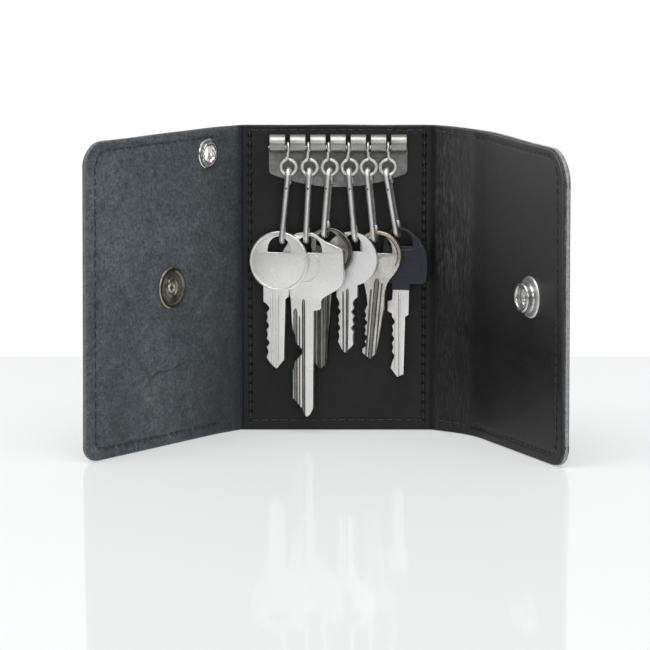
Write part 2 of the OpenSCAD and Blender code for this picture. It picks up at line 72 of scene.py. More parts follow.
# ---- materials ----------------------------------------------------------------
class Mat:
    def __init__(self, name, color=(0.5, 0.5, 0.5), rough=0.5, metal=0.0, coord="object", **sockets):
        self.m = bpy.data.materials.new(name)
        self.m.use_nodes = True
        self.t = self.m.node_tree
        self.b = self.t.nodes["Principled BSDF"]
        self.b.inputs["Base Color"].default_value = (*color, 1)
        self.b.inputs["Roughness"].default_value = rough
        self.b.inputs["Metallic"].default_value = metal
        for k, v in sockets.items():
            self.b.inputs[k.replace("_", " ")].default_value = v
        if coord == "rest":
            a = self.t.nodes.new("ShaderNodeAttribute")
            a.attribute_name = "rest"
            self.c = a.outputs["Vector"]
        else:
            self.c = self.t.nodes.new("ShaderNodeTexCoord").outputs["Object"]

    def link(self, a, b):
        self.t.links.new(a, b)

    def put(self, node, i, v):
        if v is None:
            return
        if hasattr(v, "is_output"):
            self.link(v, node.inputs[i])
        else:
            node.inputs[i].default_value = v

    def scaled(self, v=(1, 1, 1)):
        n = self.t.nodes.new("ShaderNodeMapping")
        self.link(self.c, n.inputs["Vector"])
        n.inputs["Scale"].default_value = v
        return n.outputs[0]

    def noise(self, scale, detail=3, rough=0.55, vec=None, dist=0.0):
        n = self.t.nodes.new("ShaderNodeTexNoise")
        self.link(vec or self.c, n.inputs["Vector"])
        n.inputs["Scale"].default_value = scale
        n.inputs["Detail"].default_value = detail
        n.inputs["Roughness"].default_value = rough
        n.inputs["Distortion"].default_value = dist
        return n.outputs[0]

    def voronoi(self, scale, feature="F1", vec=None, rand=1.0):
        n = self.t.nodes.new("ShaderNodeTexVoronoi")
        n.feature = feature
        self.link(vec or self.c, n.inputs["Vector"])
        n.inputs["Scale"].default_value = scale
        n.inputs["Randomness"].default_value = rand
        return n.outputs["Distance"]

    def math(self, op, a, b=None, clamp=False):
        n = self.t.nodes.new("ShaderNodeMath")
        n.operation = op
        n.use_clamp = clamp
        self.put(n, 0, a)
        self.put(n, 1, b)
        return n.outputs[0]

    def ramp(self, fac, stops):
        n = self.t.nodes.new("ShaderNodeValToRGB")
        self.link(fac, n.inputs[0])
        e = n.color_ramp.elements
        while len(e) < len(stops):
            e.new(0.5)
        for i, (p, c) in enumerate(stops):
            e[i].position = p
            e[i].color = (*c, 1) if hasattr(c, "__len__") else (c, c, c, 1)
        return n.outputs[0]

    def mix(self, f, a, b, kind="MIX"):
        n = self.t.nodes.new("ShaderNodeMix")
        n.data_type = "RGBA"
        n.blend_type = kind
        self.put(n, 0, f)
        for i, v in ((6, a), (7, b)):
            if hasattr(v, "is_output"):
                self.link(v, n.inputs[i])
            else:
                n.inputs[i].default_value = (*v, 1) if hasattr(v, "__len__") else (v, v, v, 1)
        return n.outputs[2]

    def rng(self, v, a, b, c, d):
        n = self.t.nodes.new("ShaderNodeMapRange")
        self.link(v, n.inputs[0])
        for i, x in enumerate((a, b, c, d)):
            n.inputs[i + 1].default_value = x
        return n.outputs[0]

    def mask(self, channel):
        a = self.t.nodes.new("ShaderNodeAttribute")
        a.attribute_name = "mask"
        s = self.t.nodes.new("ShaderNodeSeparateColor")
        self.link(a.outputs["Color"], s.inputs[0])
        return s.outputs[channel]

    def bump(self, height, dist, strength=1.0):
        n = self.t.nodes.new("ShaderNodeBump")
        n.inputs["Strength"].default_value = strength
        n.inputs["Distance"].default_value = dist
        self.link(height, n.inputs["Height"])
        old = self.b.inputs["Normal"]
        if old.is_linked:
            self.link(old.links[0].from_socket, n.inputs["Normal"])
        self.link(n.outputs[0], old)
        return self

    def base(self, s):
        self.link(s, self.b.inputs["Base Color"])

    def rough(self, s):
        self.link(s, self.b.inputs["Roughness"])


def suede():
    m = Mat("flesh_side_leather", rough=0.95, coord="rest", Sheen_Weight=0.12, Sheen_Roughness=0.6, Specular_IOR_Level=0.2)
    blot = m.noise(34, 4, 0.6)
    mid = m.noise(210, 5, 0.65)
    fine = m.noise(900, 4, 0.75)
    grit = m.noise(1, 4, 0.7, vec=m.scaled((460, 460, 640)), dist=0.4)
    fibre = m.noise(1, 5, 0.7, vec=m.scaled((500, 500, 1500)), dist=0.6)
    c = m.ramp(blot, [(0.30, (0.042, 0.054, 0.062)), (0.52, (0.067, 0.083, 0.093)), (0.72, (0.094, 0.113, 0.123))])
    c = m.mix(0.72, c, m.ramp(mid, [(0.28, 0.45), (0.5, 0.95), (0.72, 1.55)]), "MULTIPLY")
    c = m.mix(0.85, c, m.ramp(fine, [(0.34, 0.45), (0.5, 1.0), (0.66, 1.7)]), "MULTIPLY")
    c = m.mix(0.5, c, m.ramp(grit, [(0.34, 0.5), (0.5, 1.0), (0.66, 1.5)]), "MULTIPLY")
    c = m.mix(0.5, c, m.ramp(fibre, [(0.3, 0.6), (0.7, 1.45)]), "MULTIPLY")
    pores = m.math("MULTIPLY", m.ramp(m.voronoi(330), [(0.0, 1.0), (0.25, 0.0)]), m.ramp(m.noise(55, 2), [(0.42, 0.0), (0.58, 1.0)]))
    c = m.mix(m.math("MULTIPLY", pores, 0.9), c, (0.014, 0.018, 0.022))
    ridge = m.math("ABSOLUTE", m.math("SUBTRACT", m.noise(26, 3, 0.5, dist=0.7), 0.5))
    vein = m.math("MULTIPLY", m.ramp(ridge, [(0.0, 1.0), (0.020, 0.0)]), m.mask(2))
    c = m.mix(m.math("MULTIPLY", vein, 0.85), c, (0.010, 0.013, 0.016))
    # painted shade: mask channel 0 darkens the suede near the crease and towards the bottom
    c = m.mix(m.mask(0), c, (0.010, 0.013, 0.016))
    rim = m.math("MULTIPLY", m.mask(1), m.ramp(m.noise(900, 4, 0.7), [(0.42, 0.15), (0.62, 1.0)]))
    c = m.mix(m.math("MULTIPLY", rim, 0.75), c, (0.16, 0.165, 0.165))
    m.base(c)
    m.bump(m.math("ADD", m.math("MULTIPLY", mid, 0.9), m.math("ADD", m.math("MULTIPLY", m.math("ADD", fine, grit), 0.6), m.math("MULTIPLY", fibre, 0.4))), 0.0006, 1.0)
    return m.m


def black_leather(name, base, rough, grain, coord="rest", spec=0.35, seam=False):
    m = Mat(name, rough=rough, coord=coord, Specular_IOR_Level=spec)
    big = m.noise(30, 3)
    mid = m.noise(420, 4, 0.6)
    cell = m.voronoi(grain, "DISTANCE_TO_EDGE")
    fine = m.noise(grain * 2.2, 3, 0.6)
    crease = m.noise(1, 6, 0.7, vec=m.scaled((1500, 1500, 160)), dist=1.6)
    c = m.ramp(big, [(0.3, tuple(x * 0.75 for x in base)), (0.7, tuple(x * 1.25 for x in base))])
    c = m.mix(0.5, c, m.ramp(mid, [(0.3, 0.7), (0.7, 1.3)]), "MULTIPLY")
    streak = m.math("MULTIPLY", m.ramp(crease, [(0.47, 0.0), (0.62, 1.0)]), m.mask(0))
    c = m.mix(m.math("MULTIPLY", streak, 0.9), c, (0.078, 0.078, 0.080))
    # painted shade: on the lining, mask channel 1 darkens the colour along the crease at the centre panel's edge and
    # beside the centre seam
    c = m.mix(m.math("MULTIPLY", m.mask(1), 0.8), c, (0.003, 0.003, 0.003))
    if seam:
        sep = m.t.nodes.new("ShaderNodeSeparateXYZ")
        m.link(m.c, sep.inputs[0])
        # painted light: the colour is lightened across the right flap, most of all towards its top; its specular level
        # is raised there too
        far = m.rng(sep.outputs[0], 0.034, 0.062, 0.0, 1.0)
        high = m.rng(sep.outputs[2], 0.035, 0.103, 0.0, 1.0)
        painted_top_light = m.math("MULTIPLY", far, high)
        m.link(m.math("ADD", m.math("MULTIPLY", painted_top_light, 0.75), 0.2), m.b.inputs["Specular IOR Level"])
        c = m.mix(painted_top_light, c, (0.050, 0.049, 0.0505))
        # the leather is pulled in at each stitch of the two upright seams; the pits and the stitch row are also
        # darkened, as painted shade
        dx = m.math("ABSOLUTE", m.math("SUBTRACT", m.math("ABSOLUTE", sep.outputs[0]), 0.02995))
        fz = m.math("ABSOLUTE", m.math("SUBTRACT", m.math("FRACT", m.math("MULTIPLY", sep.outputs[2], 303.0)), 0.5))
        pit_dent_and_shade = m.math("MULTIPLY", m.rng(dx, 0.0002, 0.0009, 1.0, 0.0), m.rng(fz, 0.22, 0.42, 0.0, 1.0))
        seam_line_shade = m.rng(dx, 0.0001, 0.0011, 0.35, 0.0)
        c = m.mix(m.math("MULTIPLY", m.math("MAXIMUM", pit_dent_and_shade, seam_line_shade), 0.8), c, (0.0015, 0.0015, 0.0015))
    speck = m.ramp(m.noise(700, 2, 0.5), [(0.74, 0.0), (0.80, 1.0)])
    c = m.mix(m.math("MULTIPLY", speck, 0.25), c, (0.09, 0.09, 0.09))
    m.base(c)
    m.rough(m.rng(m.math("ADD", mid, m.math("MULTIPLY", m.mask(0), 0.25)), 0.3, 0.95, rough - 0.06, rough + 0.12))
    m.bump(m.math("MULTIPLY", m.ramp(cell, [(0.0, 0.0), (0.12, 1.0)]), 1.0), 0.00003, 0.5)
    m.bump(m.math("ADD", fine, m.math("MULTIPLY", mid, 1.4)), 0.00006, 0.55)
    m.bump(m.math("MULTIPLY", crease, m.mask(0)), 0.00035, 0.8)
    if seam:
        m.bump(m.math("SUBTRACT", 1.0, pit_dent_and_shade), 0.0003, 1.0)
    return m.m


def raw_edge(name, k):
    m = Mat(name, rough=0.95, coord="rest", Sheen_Weight=0.3, Sheen_Roughness=0.5, Specular_IOR_Level=0.2)
    f = m.noise(1200, 5, 0.7)
    g = m.noise(1, 4, 0.6, vec=m.scaled((300, 2500, 300)))
    c = m.ramp(f, [(0.3, (0.20 * k, 0.205 * k, 0.208 * k)), (0.5, (0.33 * k, 0.335 * k, 0.34 * k)), (0.72, (0.50 * k, 0.505 * k, 0.51 * k))])
    c = m.mix(0.5, c, m.ramp(g, [(0.3, 0.7), (0.7, 1.25)]), "MULTIPLY")
    m.base(c)
    m.bump(m.math("ADD", f, g), 0.0005, 0.9)
    return m.m


def thread_mat():
    m = Mat("black_thread", rough=0.5, Specular_IOR_Level=0.5, Sheen_Weight=0.1)
    n = m.noise(2600, 3, 0.6)
    m.base(m.ramp(n, [(0.35, (0.006, 0.006, 0.007)), (0.6, (0.02, 0.02, 0.021)), (0.75, (0.10, 0.10, 0.10))]))
    m.bump(m.noise(5200, 2), 0.0001, 0.6)
    return m.m


def metal(name, color, rough, var=0.25, grain=900, scratch=0.3, dark=0.0, dark_scale=120, stretch=(1, 1, 1), spec=None):
    m = Mat(name, rough=rough, metal=1.0)
    n = m.noise(grain, 4, 0.6)
    w = m.noise(70, 3)
    s = m.noise(1, 4, 0.65, vec=m.scaled(tuple(900 * k for k in stretch)))
    lo = tuple(x * (1 - var) for x in color)
    c = m.ramp(w, [(0.3, lo), (0.65, color)])
    c = m.mix(0.5, c, m.ramp(n, [(0.3, 0.8), (0.6, 1.0)]), "MULTIPLY")
    if dark:
        d = m.ramp(m.noise(dark_scale, 5, 0.7), [(0.42, 0.0), (0.68, 1.0)])
        c = m.mix(m.math("MULTIPLY", d, dark), c, tuple(x * 0.28 for x in color))
    m.base(c)
    m.rough(m.rng(m.math("ADD", m.math("MULTIPLY", s, 0.7), m.math("MULTIPLY", n, 0.5)), 0.3, 0.9, rough * 0.75, min(1, rough * 1.5)))
    m.bump(s, 0.00005, scratch)
    return m.m


def plastic():
    m = Mat("navy_plastic", rough=0.42, Specular_IOR_Level=0.4)
    n = m.noise(900, 4, 0.6)
    m.base(m.ramp(m.noise(50, 2), [(0.3, (0.0105, 0.012, 0.020)), (0.7, (0.018, 0.020, 0.031))]))
    m.rough(m.rng(n, 0.3, 0.7, 0.36, 0.52))
    m.bump(n, 0.00006, 0.5)
    return m.m


M_SUEDE = suede()
M_LINING = black_leather("satin_black_lining", (0.0136, 0.0136, 0.0139), 0.40, 1500, spec=0.55, seam=True)
M_OUTER = black_leather("grained_black_leather", (0.0125, 0.0125, 0.013), 0.5, 1100)
M_EDGE = raw_edge("raw_cut_edge", 0.95)
# the left flap's cut edge: the raw-edge colours at 0.36 of their brightness
M_EDGE_L = raw_edge("darker_cut_edge", 0.36)
M_LEDGE = Mat("dyed_lining_edge", (0.02, 0.02, 0.021), 0.85, coord="rest")
M_LEDGE.base(M_LEDGE.ramp(M_LEDGE.noise(1400, 4, 0.7), [(0.3, (0.009, 0.009, 0.010)), (0.7, (0.045, 0.045, 0.047))]))
M_LEDGE.bump(M_LEDGE.noise(1500, 4), 0.0003, 0.7)
M_LEDGE = M_LEDGE.m
M_THREAD = thread_mat()
M_NICKEL = metal("satin_nickel", (0.82, 0.815, 0.80), 0.38, 0.2, 1600, 0.1, 0.18, 300, (1, 1, 0.12))
M_PLATE = metal("dark_plate_nickel", (0.30, 0.297, 0.282), 0.40, 0.35, 700, 0.5, 0.7, 330)
M_BARREL = metal("rolled_nickel", (0.36, 0.355, 0.33), 0.34, 0.2, 1500, 0.3, 0.25, 500, (3, 0.4, 0.4))
M_BRIGHT = metal("polished_nickel", (0.70, 0.69, 0.67), 0.14, 0.15, 1500, 0.08)
M_STUD = metal("stud_nickel", (0.66, 0.65, 0.62), 0.21, 0.2, 1500, 0.12, 0.3, 420)
M_AGED = metal("aged_nickel", (0.20, 0.185, 0.155), 0.20, 0.12, 900, 0.08, 0.12, 160)
M_RIMA = metal("aged_rim", (0.40, 0.36, 0.29), 0.25, 0.2, 900, 0.1, 0.3, 300)
M_CUP = metal("worn_post", (0.62, 0.58, 0.47), 0.25, 0.3, 900, 0.3, 0.3, 700)
M_KEY = metal("key_nickel", (0.92, 0.91, 0.885), 0.30, 0.10, 1600, 0.12, 0.06, 90, (1, 1, 0.2))
M_KEY2 = metal("key_nickel_polished", (0.91, 0.90, 0.875), 0.30, 0.06, 1600, 0.0, 0.04, 60, (0.3, 1, 1))
# painted shade: a darker copy of the key nickel for key 3, which hangs behind key 2
M_KEY3_SHADE = metal("key_nickel_painted_shade", (0.27, 0.262, 0.24), 0.17, 0.3, 1200, 0.15, 0.4, 150, (1, 1, 0.1))
M_BLAST = metal("key_sandblasted", (0.88, 0.88, 0.87), 0.46, 0.1, 2600, 0.9, 0.0)
M_KEY5 = metal("key_worn", (0.80, 0.78, 0.72), 0.27, 0.25, 1300, 0.2, 0.5, 160, (1, 1, 0.3))
M_BRASS = metal("key_brass_edge", (0.68, 0.56, 0.36), 0.33, 0.3, 1100, 0.3, 0.35, 400)
M_GATE = metal("gate_wire", (0.34, 0.333, 0.31), 0.42, 0.4, 900, 0.8, 0.7, 700)
# painted shade for the dimple on each hook
M_DIMPLE_SHADE = metal("painted_dimple_shade", (0.06, 0.06, 0.06), 0.6, 0.3, 1500, 0.3)
# painted shade: the key grooves get a darker metal than the keys, some grooves and rims a darker one still
M_GROOVE_SHADE = metal("groove_painted_shade", (0.27, 0.258, 0.225), 0.22, 0.3, 1500, 0.2, 0.5, 260, (1, 1, 0.2))
M_DARKER_SHADE = metal("darker_painted_shade", (0.12, 0.112, 0.095), 0.30, 0.4, 1500, 0.3, 0.7, 300, (1, 1, 0.3))
M_PLASTIC = plastic()


# ---- meshes --------------------------------------------------------------------
def finish_mesh(me, angle=35, recalc=True):
    bm = bmesh.new()
    bm.from_mesh(me)
    bmesh.ops.remove_doubles(bm, verts=bm.verts, dist=1e-7)
    if recalc:
        bmesh.ops.recalc_face_normals(bm, faces=bm.faces)
    bm.to_mesh(me)
    bm.free()
    me.polygons.foreach_set("use_smooth", [True] * len(me.polygons))
    me.set_sharp_from_angle(angle=rad(angle))
    me.update()


def make(name, verts, faces, mats, fmat=None, angle=35, attrs=None):
    me = bpy.data.meshes.new(name)
    me.from_pydata([tuple(v) for v in (np.asarray(verts, float) * S)], [], faces)
    for m in mats if isinstance(mats, (list, tuple)) else [mats]:
        me.materials.append(m)
    if fmat is not None:
        me.polygons.foreach_set("material_index", fmat)
    if attrs:
        for k, (kind, data) in attrs.items():
            if kind == "vec":
                a = me.attributes.new(k, "FLOAT_VECTOR", "POINT")
                a.data.foreach_set("vector", np.asarray(data, np.float32).ravel())
            else:
                a = me.attributes.new(k, "FLOAT_COLOR", "POINT")
                a.data.foreach_set("color", np.asarray(data, np.float32).ravel())
    finish_mesh(me, angle)
    o = bpy.data.objects.new(name, me)
    coll.objects.link(o)
    return o


def evaluated(o):
    dg = bpy.context.evaluated_depsgraph_get()
    me = bpy.data.meshes.new_from_object(o.evaluated_get(dg))
    return me


def tube(pts, r, n=14, caps=True, flat=None):
    """A round bar along the points, with rounded ends. r is a number or one per point."""
    p = np.asarray(pts, float)
    rr = np.full(len(p), float(r)) if np.isscalar(r) else np.asarray(r, float)
    tan = np.gradient(p, axis=0)
    tan /= np.linalg.norm(tan, axis=1)[:, None]
    if caps:
        a = [0.12, 0.35, 0.65, 0.9]
        head = [p[0] - tan[0] * rr[0] * math.sqrt(1 - k * k) for k in a]
        tail = [p[-1] + tan[-1] * rr[-1] * math.sqrt(1 - k * k) for k in a[::-1]]
        p = np.vstack([head, p, tail])
        rr = np.concatenate([[rr[0] * k for k in a], rr, [rr[-1] * k for k in a[::-1]]])
        tan = np.vstack([[tan[0]] * 4, tan, [tan[-1]] * 4])
    ref = np.array([0.0, 0.0, 1.0]) if abs(tan[0][2]) < 0.9 else np.array([0.0, 1.0, 0.0])
    u = np.cross(tan[0], ref)
    u /= np.linalg.norm(u)
    verts, faces = [], []
    for i in range(len(p)):
        u = u - tan[i] * np.dot(u, tan[i])
        u /= np.linalg.norm(u)
        w = np.cross(tan[i], u)
        for k in range(n):
            t = 2 * math.pi * k / n
            verts.append(p[i] + rr[i] * (math.cos(t) * u + math.sin(t) * w))
    for i in range(len(p) - 1):
        for k in range(n):
            a, b = i * n + k, i * n + (k + 1) % n
            faces.append((a, b, b + n, a + n))
    faces.append(tuple(range(n)))
    faces.append(tuple((len(p) - 1) * n + k for k in range(n)))
    return np.array(verts), faces


def spline(pts, per=6):
    """A smooth curve through the points."""
    p = [np.asarray(q, float) for q in pts]
    p = [2 * p[0] - p[1]] + p + [2 * p[-1] - p[-2]]
    out = []
    for i in range(1, len(p) - 2):
        for k in range(per):
            t = k / per
            out.append(0.5 * (2 * p[i] + (p[i + 1] - p[i - 1]) * t + (2 * p[i - 1] - 5 * p[i] + 4 * p[i + 1] - p[i + 2]) * t * t
                              + (3 * p[i] - p[i - 1] - 3 * p[i + 1] + p[i + 2]) * t ** 3))
    out.append(p[-2])
    return out


def lathe(prof, n=96, mod=None):
    """A closed profile of (radius, y) turned about the y axis."""
    verts, faces = [], []
    m = len(prof)
    for k in range(n):
        t = 2 * math.pi * k / n
        for j, (r, y) in enumerate(prof):
            if mod:
                r, y = mod(t, j, r, y)
            verts.append((r * math.cos(t), y, r * math.sin(t)))
    for k in range(n):
        for j in range(m):
            a, b = k * m + j, k * m + (j + 1) % m
            c, d = ((k + 1) % n) * m + (j + 1) % m, ((k + 1) % n) * m + j
            faces.append((a, b, c, d))
    return np.array(verts), faces


def round_profile(prof, r=0.12, n=3, closed=True):
    """Rounds the corners of a profile."""
    p = [np.asarray(q, float) for q in prof]
    out = []
    m = len(p)
    for i in range(m):
        a, b, c = p[i - 1], p[i], p[(i + 1) % m]
        la, lc = np.linalg.norm(a - b), np.linalg.norm(c - b)
        if la < 1e-6 or lc < 1e-6 or b[0] < 1e-6:
            out.append(b)
            continue
        d = min(r, la * 0.45, lc * 0.45)
        q0, q1 = b + (a - b) / la * d, b + (c - b) / lc * d
        for k in range(n + 1):
            t = k / n
            out.append((1 - t) ** 2 * q0 + 2 * t * (1 - t) * b + t * t * q1)
    return [tuple(q) for q in out]


def merge(parts):
    verts, faces, k = [], [], 0
    for v, f in parts:
        verts.append(np.asarray(v, float))
        faces += [tuple(i + k for i in q) for q in f]
        k += len(v)
    return np.vstack(verts), faces


# ---- leather paths ---------------------------------------------------------------
class Path:
    """The inner face of one side, from the middle of the centre panel outwards."""

    def __init__(self, side, y0, spine, a1, a2, soft):
        self.side, self.y0 = side, y0
        self.fix = (0.0, 0.0)
        self.c = [HW, HW + spine]
        self.a = [0.0, rad(a1), rad(a2)]
        self.soft = soft
        c1 = np.array([HW, y0])
        c2 = c1 + spine * np.array([math.cos(self.a[1]), -math.sin(self.a[1])])
        self.p = [c1, c2]

    def at(self, s):
        for i in (0, 1):
            d = self.soft[i]
            if abs(s - self.c[i]) < d:
                ti = np.array([math.cos(self.a[i]), -math.sin(self.a[i])])
                to = np.array([math.cos(self.a[i + 1]), -math.sin(self.a[i + 1])])
                A, C, D = self.p[i] - d * ti, self.p[i], self.p[i] + d * to
                t = (s - self.c[i] + d) / (2 * d)
                q = (1 - t) ** 2 * A + 2 * t * (1 - t) * C + t * t * D
                g = (1 - t) * (C - A) + t * (D - C)
                g /= np.linalg.norm(g)
                return q, g
        if s < self.c[0]:
            return np.array([s, self.y0]), np.array([1.0, 0.0])
        i = 0 if s < self.c[1] else 1
        g = np.array([math.cos(self.a[i + 1]), -math.sin(self.a[i + 1])])
        return self.p[i] + (s - self.c[i]) * g, g

    def lean(self, s, z):
        u = max(0.0, (s - self.c[1]) / 67)
        return u * u * (self.fix[0] + self.fix[1] * (1 - z / H))

    def frame(self, s, y, z, lean=True):
        # the far edge leans and reaches out a little towards the bottom
        s += self.lean(s, z) if lean else 0.0
        q, g = self.at(s)
        n = np.array([-g[1], g[0]])
        w = q + n * y
        return np.array([self.side * w[0], w[1], z])

    def axes(self, s):
        q, g = self.at(s)
        n = np.array([-g[1], g[0]])
        return np.array([self.side * g[0], g[1], 0.0]), np.array([self.side * n[0], n[1], 0.0])


LEFT = Path(-1, YO, LSP, LA1, LA2, (1.5, 2.0))
RIGHT = Path(1, YI, RSP, RA1, RA2, (1.3, 8.5))
LEFT.fix = (0.9, 1.3)
RIGHT.fix = (-2.2, 1.0)


def outline(s, c2, w, drop, rt, rb):
    """Lowest and highest z of the leather at s. c2 is the second crease."""
    x = s - c2
    W = w
    lo, hi = 0.0, H
    if x > 0:
        hi = H - drop * min(1.0, x / (W - rt)) ** 0.85
        if x > W - rt:
            hi = (H - drop - rt) + math.sqrt(max(0.0, rt * rt - (x - (W - rt)) ** 2))
        if x > W - rb:
            lo = rb - math.sqrt(max(0.0, rb * rb - (x - (W - rb)) ** 2))
    return lo, hi


def columns(a, b, dense, step=1.5, fine=0.3, reach=2.8, lines=()):
    out, s = [a], a
    while s < b - 1e-6:
        near = min(abs(s - d) for d in dense) if dense else 99
        s = min(b, s + (fine if near < reach else step))
        out.append(s)
    for l in lines:
        out += [l + k for k in (-0.9, -0.45, -0.15, 0.15, 0.45, 0.9) if a < l + k < b]
    out = sorted(set(round(x, 4) for x in out))
    keep = [out[0]]
    for x in out[1:]:
        if x - keep[-1] > 0.1:
            keep.append(x)
    keep[-1] = b
    return keep


ROWS = sorted(set([0, 0.004, 0.010] + [i / 66 for i in range(1, 66)] + [1 - 0.010, 1 - 0.004, 1]
                  + [(3.6 + k) / H for k in (-0.9, -0.45, -0.15, 0.15, 0.45, 0.9)]
                  + [(H - 1.6 + k) / H for k in (-0.9, -0.45, 0.0, 0.45)] + [(H - 3.8 + k) / H for k in (-0.9, -0.45, -0.15, 0.15, 0.45, 0.9)]))
ROWS = [ROWS[0]] + [b for a, b in zip(ROWS, ROWS[1:]) if b - a > 0.0012]
ROWS[-1] = 1.0


def leather(name, path, y0, y1, s0, s1, lim, mats, dense, end_round=False, start_round=False, e=0.35, lines=(), din=None, dout=None, mask=None, curve_end=None):
    cols = [(s, 0.0) for s in columns(s0, s1 - (e if end_round else 0), dense, lines=lines)]
    if curve_end:
        w, r = curve_end
        cols = [(s, i) for s, i in cols if s < w - r - 0.05]
        cols += [(w - r + (r - (e if end_round else 0)) * math.sin(rad(t)), 0.0) for t in range(0, 91, 6)]
    if end_round:
        cols += [(s1 - e + e * math.sin(rad(t)), e - e * math.cos(rad(t))) for t in (30, 60, 90)]
    if start_round:
        cols = [(s0 + e - e * math.sin(rad(t)), e - e * math.cos(rad(t))) for t in (90, 60, 30)] + [(max(s, s0 + e), i) for s, i in cols[1:]]
    verts, rest, masks, faces, fm = [], [], [], [], []
    sg = path.side
    ph = [rad(t) for t in (30, 60, 90)]
    for s, inset in cols:
        lo, hi = lim(s)
        hi += 0.16 * nz(s * 0.06, 1.7) * min(1, max(0, hi - 60) / 40)
        ya, yb = y0 + inset, y1 - inset
        be = min(e, (yb - ya) * 0.45)
        loop = [(ya, lo + be + v * (hi - lo - 2 * be), 0) for v in ROWS]
        loop += [(ya + be - be * math.cos(t), hi - be + be * math.sin(t), 1) for t in ph]
        loop += [((ya + yb) / 2, hi, 2)]
        loop += [(yb - be + be * math.cos(t), hi - be + be * math.sin(t), 3) for t in ph[::-1]]
        loop += [(yb, lo + be + v * (hi - lo - 2 * be), 4) for v in ROWS[::-1]]
        loop += [(yb - be + be * math.cos(t), lo + be - be * math.sin(t), 3) for t in ph]
        loop += [((ya + yb) / 2, lo, 2)]
        loop += [(ya + be - be * math.cos(t), lo + be - be * math.sin(t), 1) for t in ph[::-1]]
        for y, z, k in loop:
            if k in (0, 1) and din:
                y = y + din(s, z)
            if k in (3, 4) and dout:
                y = y + dout(s, z)
            zz = z
            if k == 2:
                zz += 0.05 * nz(s * 1.3, z, 5)
            verts.append(path.frame(s, y, max(0.0, zz)))
            rest.append((sg * s * S, y * S, z * S))
            masks.append((*(mask(s, z, k) if mask else (0, 0, 0)), 1))
    K = len(loop)
    R = len(ROWS)
    kinds = [k for _, _, k in loop]
    for i in range(len(cols) - 1):
        for k in range(K):
            k2 = (k + 1) % K
            faces.append((i * K + k, i * K + k2, (i + 1) * K + k2, (i + 1) * K + k))
            a, b = kinds[k], kinds[k2]
            fm.append(1 if 2 in (a, b) else (0 if max(a, b) <= 1 else 2))
    nb = 7
    for base in (0, (len(cols) - 1) * K):
        for j in range(R - 1):
            o = R + nb + (R - 1 - j)
            faces.append((base + j, base + j + 1, base + o - 1, base + o))
            fm.append(1)
        faces.append(tuple(base + k for k in range(R - 1, R + nb + 1)))
        faces.append(tuple(base + k % K for k in range(R + nb + R - 1, K + 1)))
        fm += [1, 1]
    return make(name, verts, faces, mats, fm, 42, {"rest": ("vec", rest), "mask": ("col", masks)})


def smooth01(t):
    t = min(1.0, max(0.0, t))
    return t * t * (3 - 2 * t)


LC2, RC2 = HW + LSP, HW + RSP
LEND, REND = HW + LW + 0.35, HW + RW
SEAM_L, SEAM_R = LEND - 3.6, REND - 3.6


def seg_dist(s, z, pts):
    best = 99.0
    for (a0, b0), (a1, b1) in zip(pts, pts[1:]):
        dx, dz = a1 - a0, b1 - b0
        t = max(0, min(1, ((s - a0) * dx + (z - b0) * dz) / (dx * dx + dz * dz)))
        best = min(best, math.hypot(s - a0 - t * dx, z - b0 - t * dz))
    return best


def inset_line(c2, end, drop, x0, zt, corner_t, corner_b):
    """A seam round a flap: up the bottom, side and top, with its corners cut."""
    side, zc = end - 4.2, zt - drop * (end - 4.2 - corner_t - c2) / (end - c2)
    p = [(c2 + x0, 3.6), (side - corner_b, 3.6), (side - 0.25 * corner_b, 3.6 + 0.3 * corner_b), (side, 3.6 + corner_b)]
    p += [(side, zc - corner_t), (side - 0.3 * corner_t, zc - 0.35 * corner_t), (side - corner_t, zc), (c2 + x0, zt)]
    return p


SEAM_LEFT = inset_line(LC2, LEND, 0.5, 0.9, H - 3.1, 5.0, 3.4)
SEAM_LEFT_TOP_START = LC2 + 13.0
SEAM_RIGHT = inset_line(RC2, REND, RTAP, 1.2, H - 3.0, 6.0, 4.0)
SEAM_CENTRE = [(-29.95, 3.6), (29.95, 3.6), (29.95, 104.3), (-29.95, 104.3), (-29.95, 3.6)]


def groove_depth(s, z, lines, depth=0.2, w=0.5):
    d = min(seg_dist(s, z, l) for l in lines)
    return depth * math.exp(-(d / w) ** 2)


def din_left(s, z):
    v = 0.16 * nz(s * 0.045, z * 0.04, 0, 4) + 0.05 * nz(s * 0.3, z * 0.3, 1)
    v *= smooth01((s - HW - 2) / 8)
    if s > LC2 - 1:
        v += groove_depth(s, z, [SEAM_LEFT], 0.18)
    return v


def dout_any(s, z):
    return -0.10 * abs(nz(s * 0.05, z * 0.05, 2, 9))


def din_lining(s, z):
    v = 0.05 * nz(s * 0.08, z * 0.05, 3, 2)
    if s < 31:
        v += groove_depth(s, z, [SEAM_CENTRE], 0.2)
        v *= 1.0
    elif s > RC2 - 1:
        v += groove_depth(s, z, [SEAM_RIGHT], 0.2)
        v += 0.10 * nz(s * 0.05, z * 0.04, 1, 6)
    if HW + 0.5 < s < RC2 + 4:
        k = smooth01((s - HW - 0.5) / 2) * smooth01((RC2 + 4 - s) / 5)
        v += k * (0.05 * nz(s * 0.9, z * 0.05, 0, 8) + 0.03 * nz(s * 2.1, z * 0.10, 0, 3))
    return v


